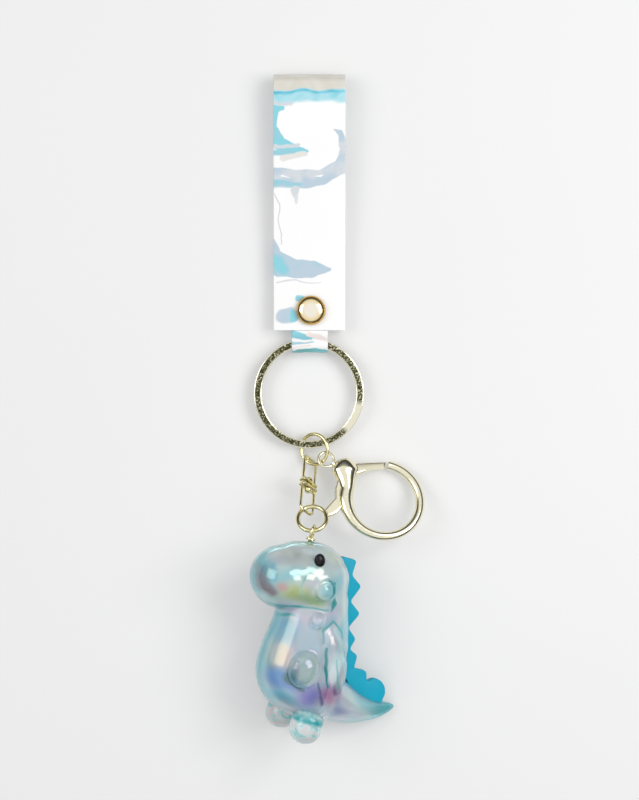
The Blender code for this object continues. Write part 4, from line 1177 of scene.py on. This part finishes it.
def make_foot(name, side, finish, node):
    r = FOOT_RADIUS
    profile = [(0, -4.4 * MM)]
    for degrees in range(6, 91, 6):
        a = math.radians(degrees)
        profile.append((r * math.sin(a), -0.6 * MM - 3.8 * MM * math.cos(a)))
    shoulder = ((1, 1.2), (0.985, 2.4), (0.94, 3.3), (0.80, 4.0), (0.5, 4.35), (0, 4.5))
    profile += [(r * share, z * MM) for share, z in shoulder]
    place = DINO @ Matrix.Translation((0, side * FOOT_SPREAD, 0))
    add_object(
        name, revolve(profile), finish, place, body="charm", node=node
    )


def make_dinosaur(metal):
    plastic = body_plastic("iridescent plastic")
    paws = foot_plastic()
    outer, inner = body_skin(), cavity_skin()
    for name, side in (("left", 1), ("right", -1)):
        add_object(
            f"body_{name}", half_shell(outer, inner, side), plastic, DINO,
            body="charm", node=f"shell_{name}", angle=60,
        )
        make_foot(f"paw_{name}", side, paws, f"foot_{name}")
        eye = ellipsoid((9.5, side * 8.3, 43.7), (1.5, 1.0, 1.9), 20, 48, 32)
        add_object(
            f"bead_{name}", eye, black_bead(f"black bead {name}"), DINO,
            body="charm", node=f"eye_{name}",
        )
    crest = plate(crest_outline(), 1.0 * MM, 0.28 * MM)
    add_object(
        "crest_plate", crest, turquoise("turquoise plastic"), DINO @ turn_by(90, "X"),
        body="charm", node="back_crest", angle=35,
    )
    outer.free()
    inner.free()
    make_screw_eye(metal)


def make_screw_eye(finish):
    """A threaded shank, a collar on the head and a round eye, in millimetres from the collar."""
    place = DINO @ Matrix.Translation((SCREW_X, 0, SCREW_EYE_Z)) @ turn_by(55, "Z")
    base = HEAD_TOP_Z - SCREW_EYE_Z
    profile = [(0, -2.4), (0.35, -2.1)]
    profile += [(0.65 if i % 2 else 0.50, -2.1 + 0.19 * i) for i in range(1, 11)]
    profile += [
        (0.65, 0.1), (1.3, 0.15), (1.4, 0.3), (1.35, 0.62), (0.9, 0.8), (0.55, 0.95), (0.3, 1.1)
    ]
    profile = [(r * MM, base + z * MM) for r, z in profile]
    loop = wire_loop(1.65 * MM, 0.42 * MM, 120, 16)
    loop.transform(turn_by(90, "X"))
    add_object(
        "head_screw", join([revolve(profile, 32), loop]), finish, place,
        body="charm", node="screw_eye",
    )


# ---- stage


def make_table():
    bm = bmesh.new()
    bmesh.ops.create_grid(bm, x_segments=1, y_segments=1, size=1.5)
    m = Nodes("table")
    m.set("Base Color", m.mix(m.noise(8, 2), (0.61, 0.61, 0.61), (0.63, 0.63, 0.63)))
    m.set("Emission Color", (1.0, 1.0, 1.0, 1.0))
    m.set("Emission Strength", 0.21)
    m.set("Roughness", 0.85)
    m.set("Specular IOR Level", 0.2)
    add_object("table", bm, m.material)


def make_light():
    """A studio with a dark band at the horizon, two windows and a soft fill."""
    world = bpy.data.worlds.new("studio")
    bpy.context.scene.world = world
    world.use_nodes = True
    tree = world.node_tree
    background = tree.nodes["Background"]
    coordinate = tree.nodes.new("ShaderNodeTexCoord")
    split = tree.nodes.new("ShaderNodeSeparateXYZ")
    ramp = tree.nodes.new("ShaderNodeValToRGB")
    tree.links.new(coordinate.outputs["Generated"], split.inputs[0])
    tree.links.new(split.outputs["Z"], ramp.inputs["Fac"])
    tree.links.new(ramp.outputs["Color"], background.inputs["Color"])
    stops = [(0.0, 0.10), (0.34, 0.08), (0.52, 0.40), (0.68, 1.15), (1.0, 1.15)]
    elements = ramp.color_ramp.elements
    while len(elements) < len(stops):
        elements.new(0.5)
    for element, (position, level) in zip(elements, stops):
        element.position = position
        element.color = (level, level, level, 1)
    background.inputs["Strength"].default_value = 0.78

    add_softbox("window left", (0.28, 0.14, 0.42), 0.15, 0.26, 0.62)
    add_softbox("window right", (0.38, -0.02, 0.40), 0.15, 0.26, 0.62)
    add_softbox("fill", (-0.50, 0.10, 0.50), 0.40, 0.40, 1.1)


def add_softbox(name, place, width, height, power):
    data = bpy.data.lights.new(name, "AREA")
    data.shape = "RECTANGLE"
    data.size = width
    data.size_y = height
    data.energy = power
    light = bpy.data.objects.new(name, data)
    light.location = place
    aim = Vector((0, -0.04, 0)) - Vector(place)
    light.rotation_euler = aim.to_track_quat("-Z", "Y").to_euler()
    bpy.context.scene.collection.objects.link(light)


def make_camera():
    data = bpy.data.cameras.new("camera")
    data.sensor_fit = "VERTICAL"
    data.sensor_height = 36.0
    data.lens = 98.55
    data.clip_start = 0.01
    camera = bpy.data.objects.new("camera", data)
    camera.location = (0.00232, -0.02438, 0.600)
    bpy.context.scene.collection.objects.link(camera)
    bpy.context.scene.camera = camera
    bpy.context.scene.view_settings.view_transform = "Standard"


# ---- assembly

make_strap()
make_tab()
make_rivet()
make_split_ring()
pale_gold = gold("ring gold", (0.86, 0.80, 0.50), (0.74, 0.66, 0.36), 0.10)
make_jump_rings(pale_gold)
make_link(pale_gold)
make_clasp(gold("clasp gold", (0.93, 0.89, 0.70), (0.86, 0.81, 0.58), 0.08))
make_dinosaur(pale_gold)
make_table()
make_light()
make_camera()
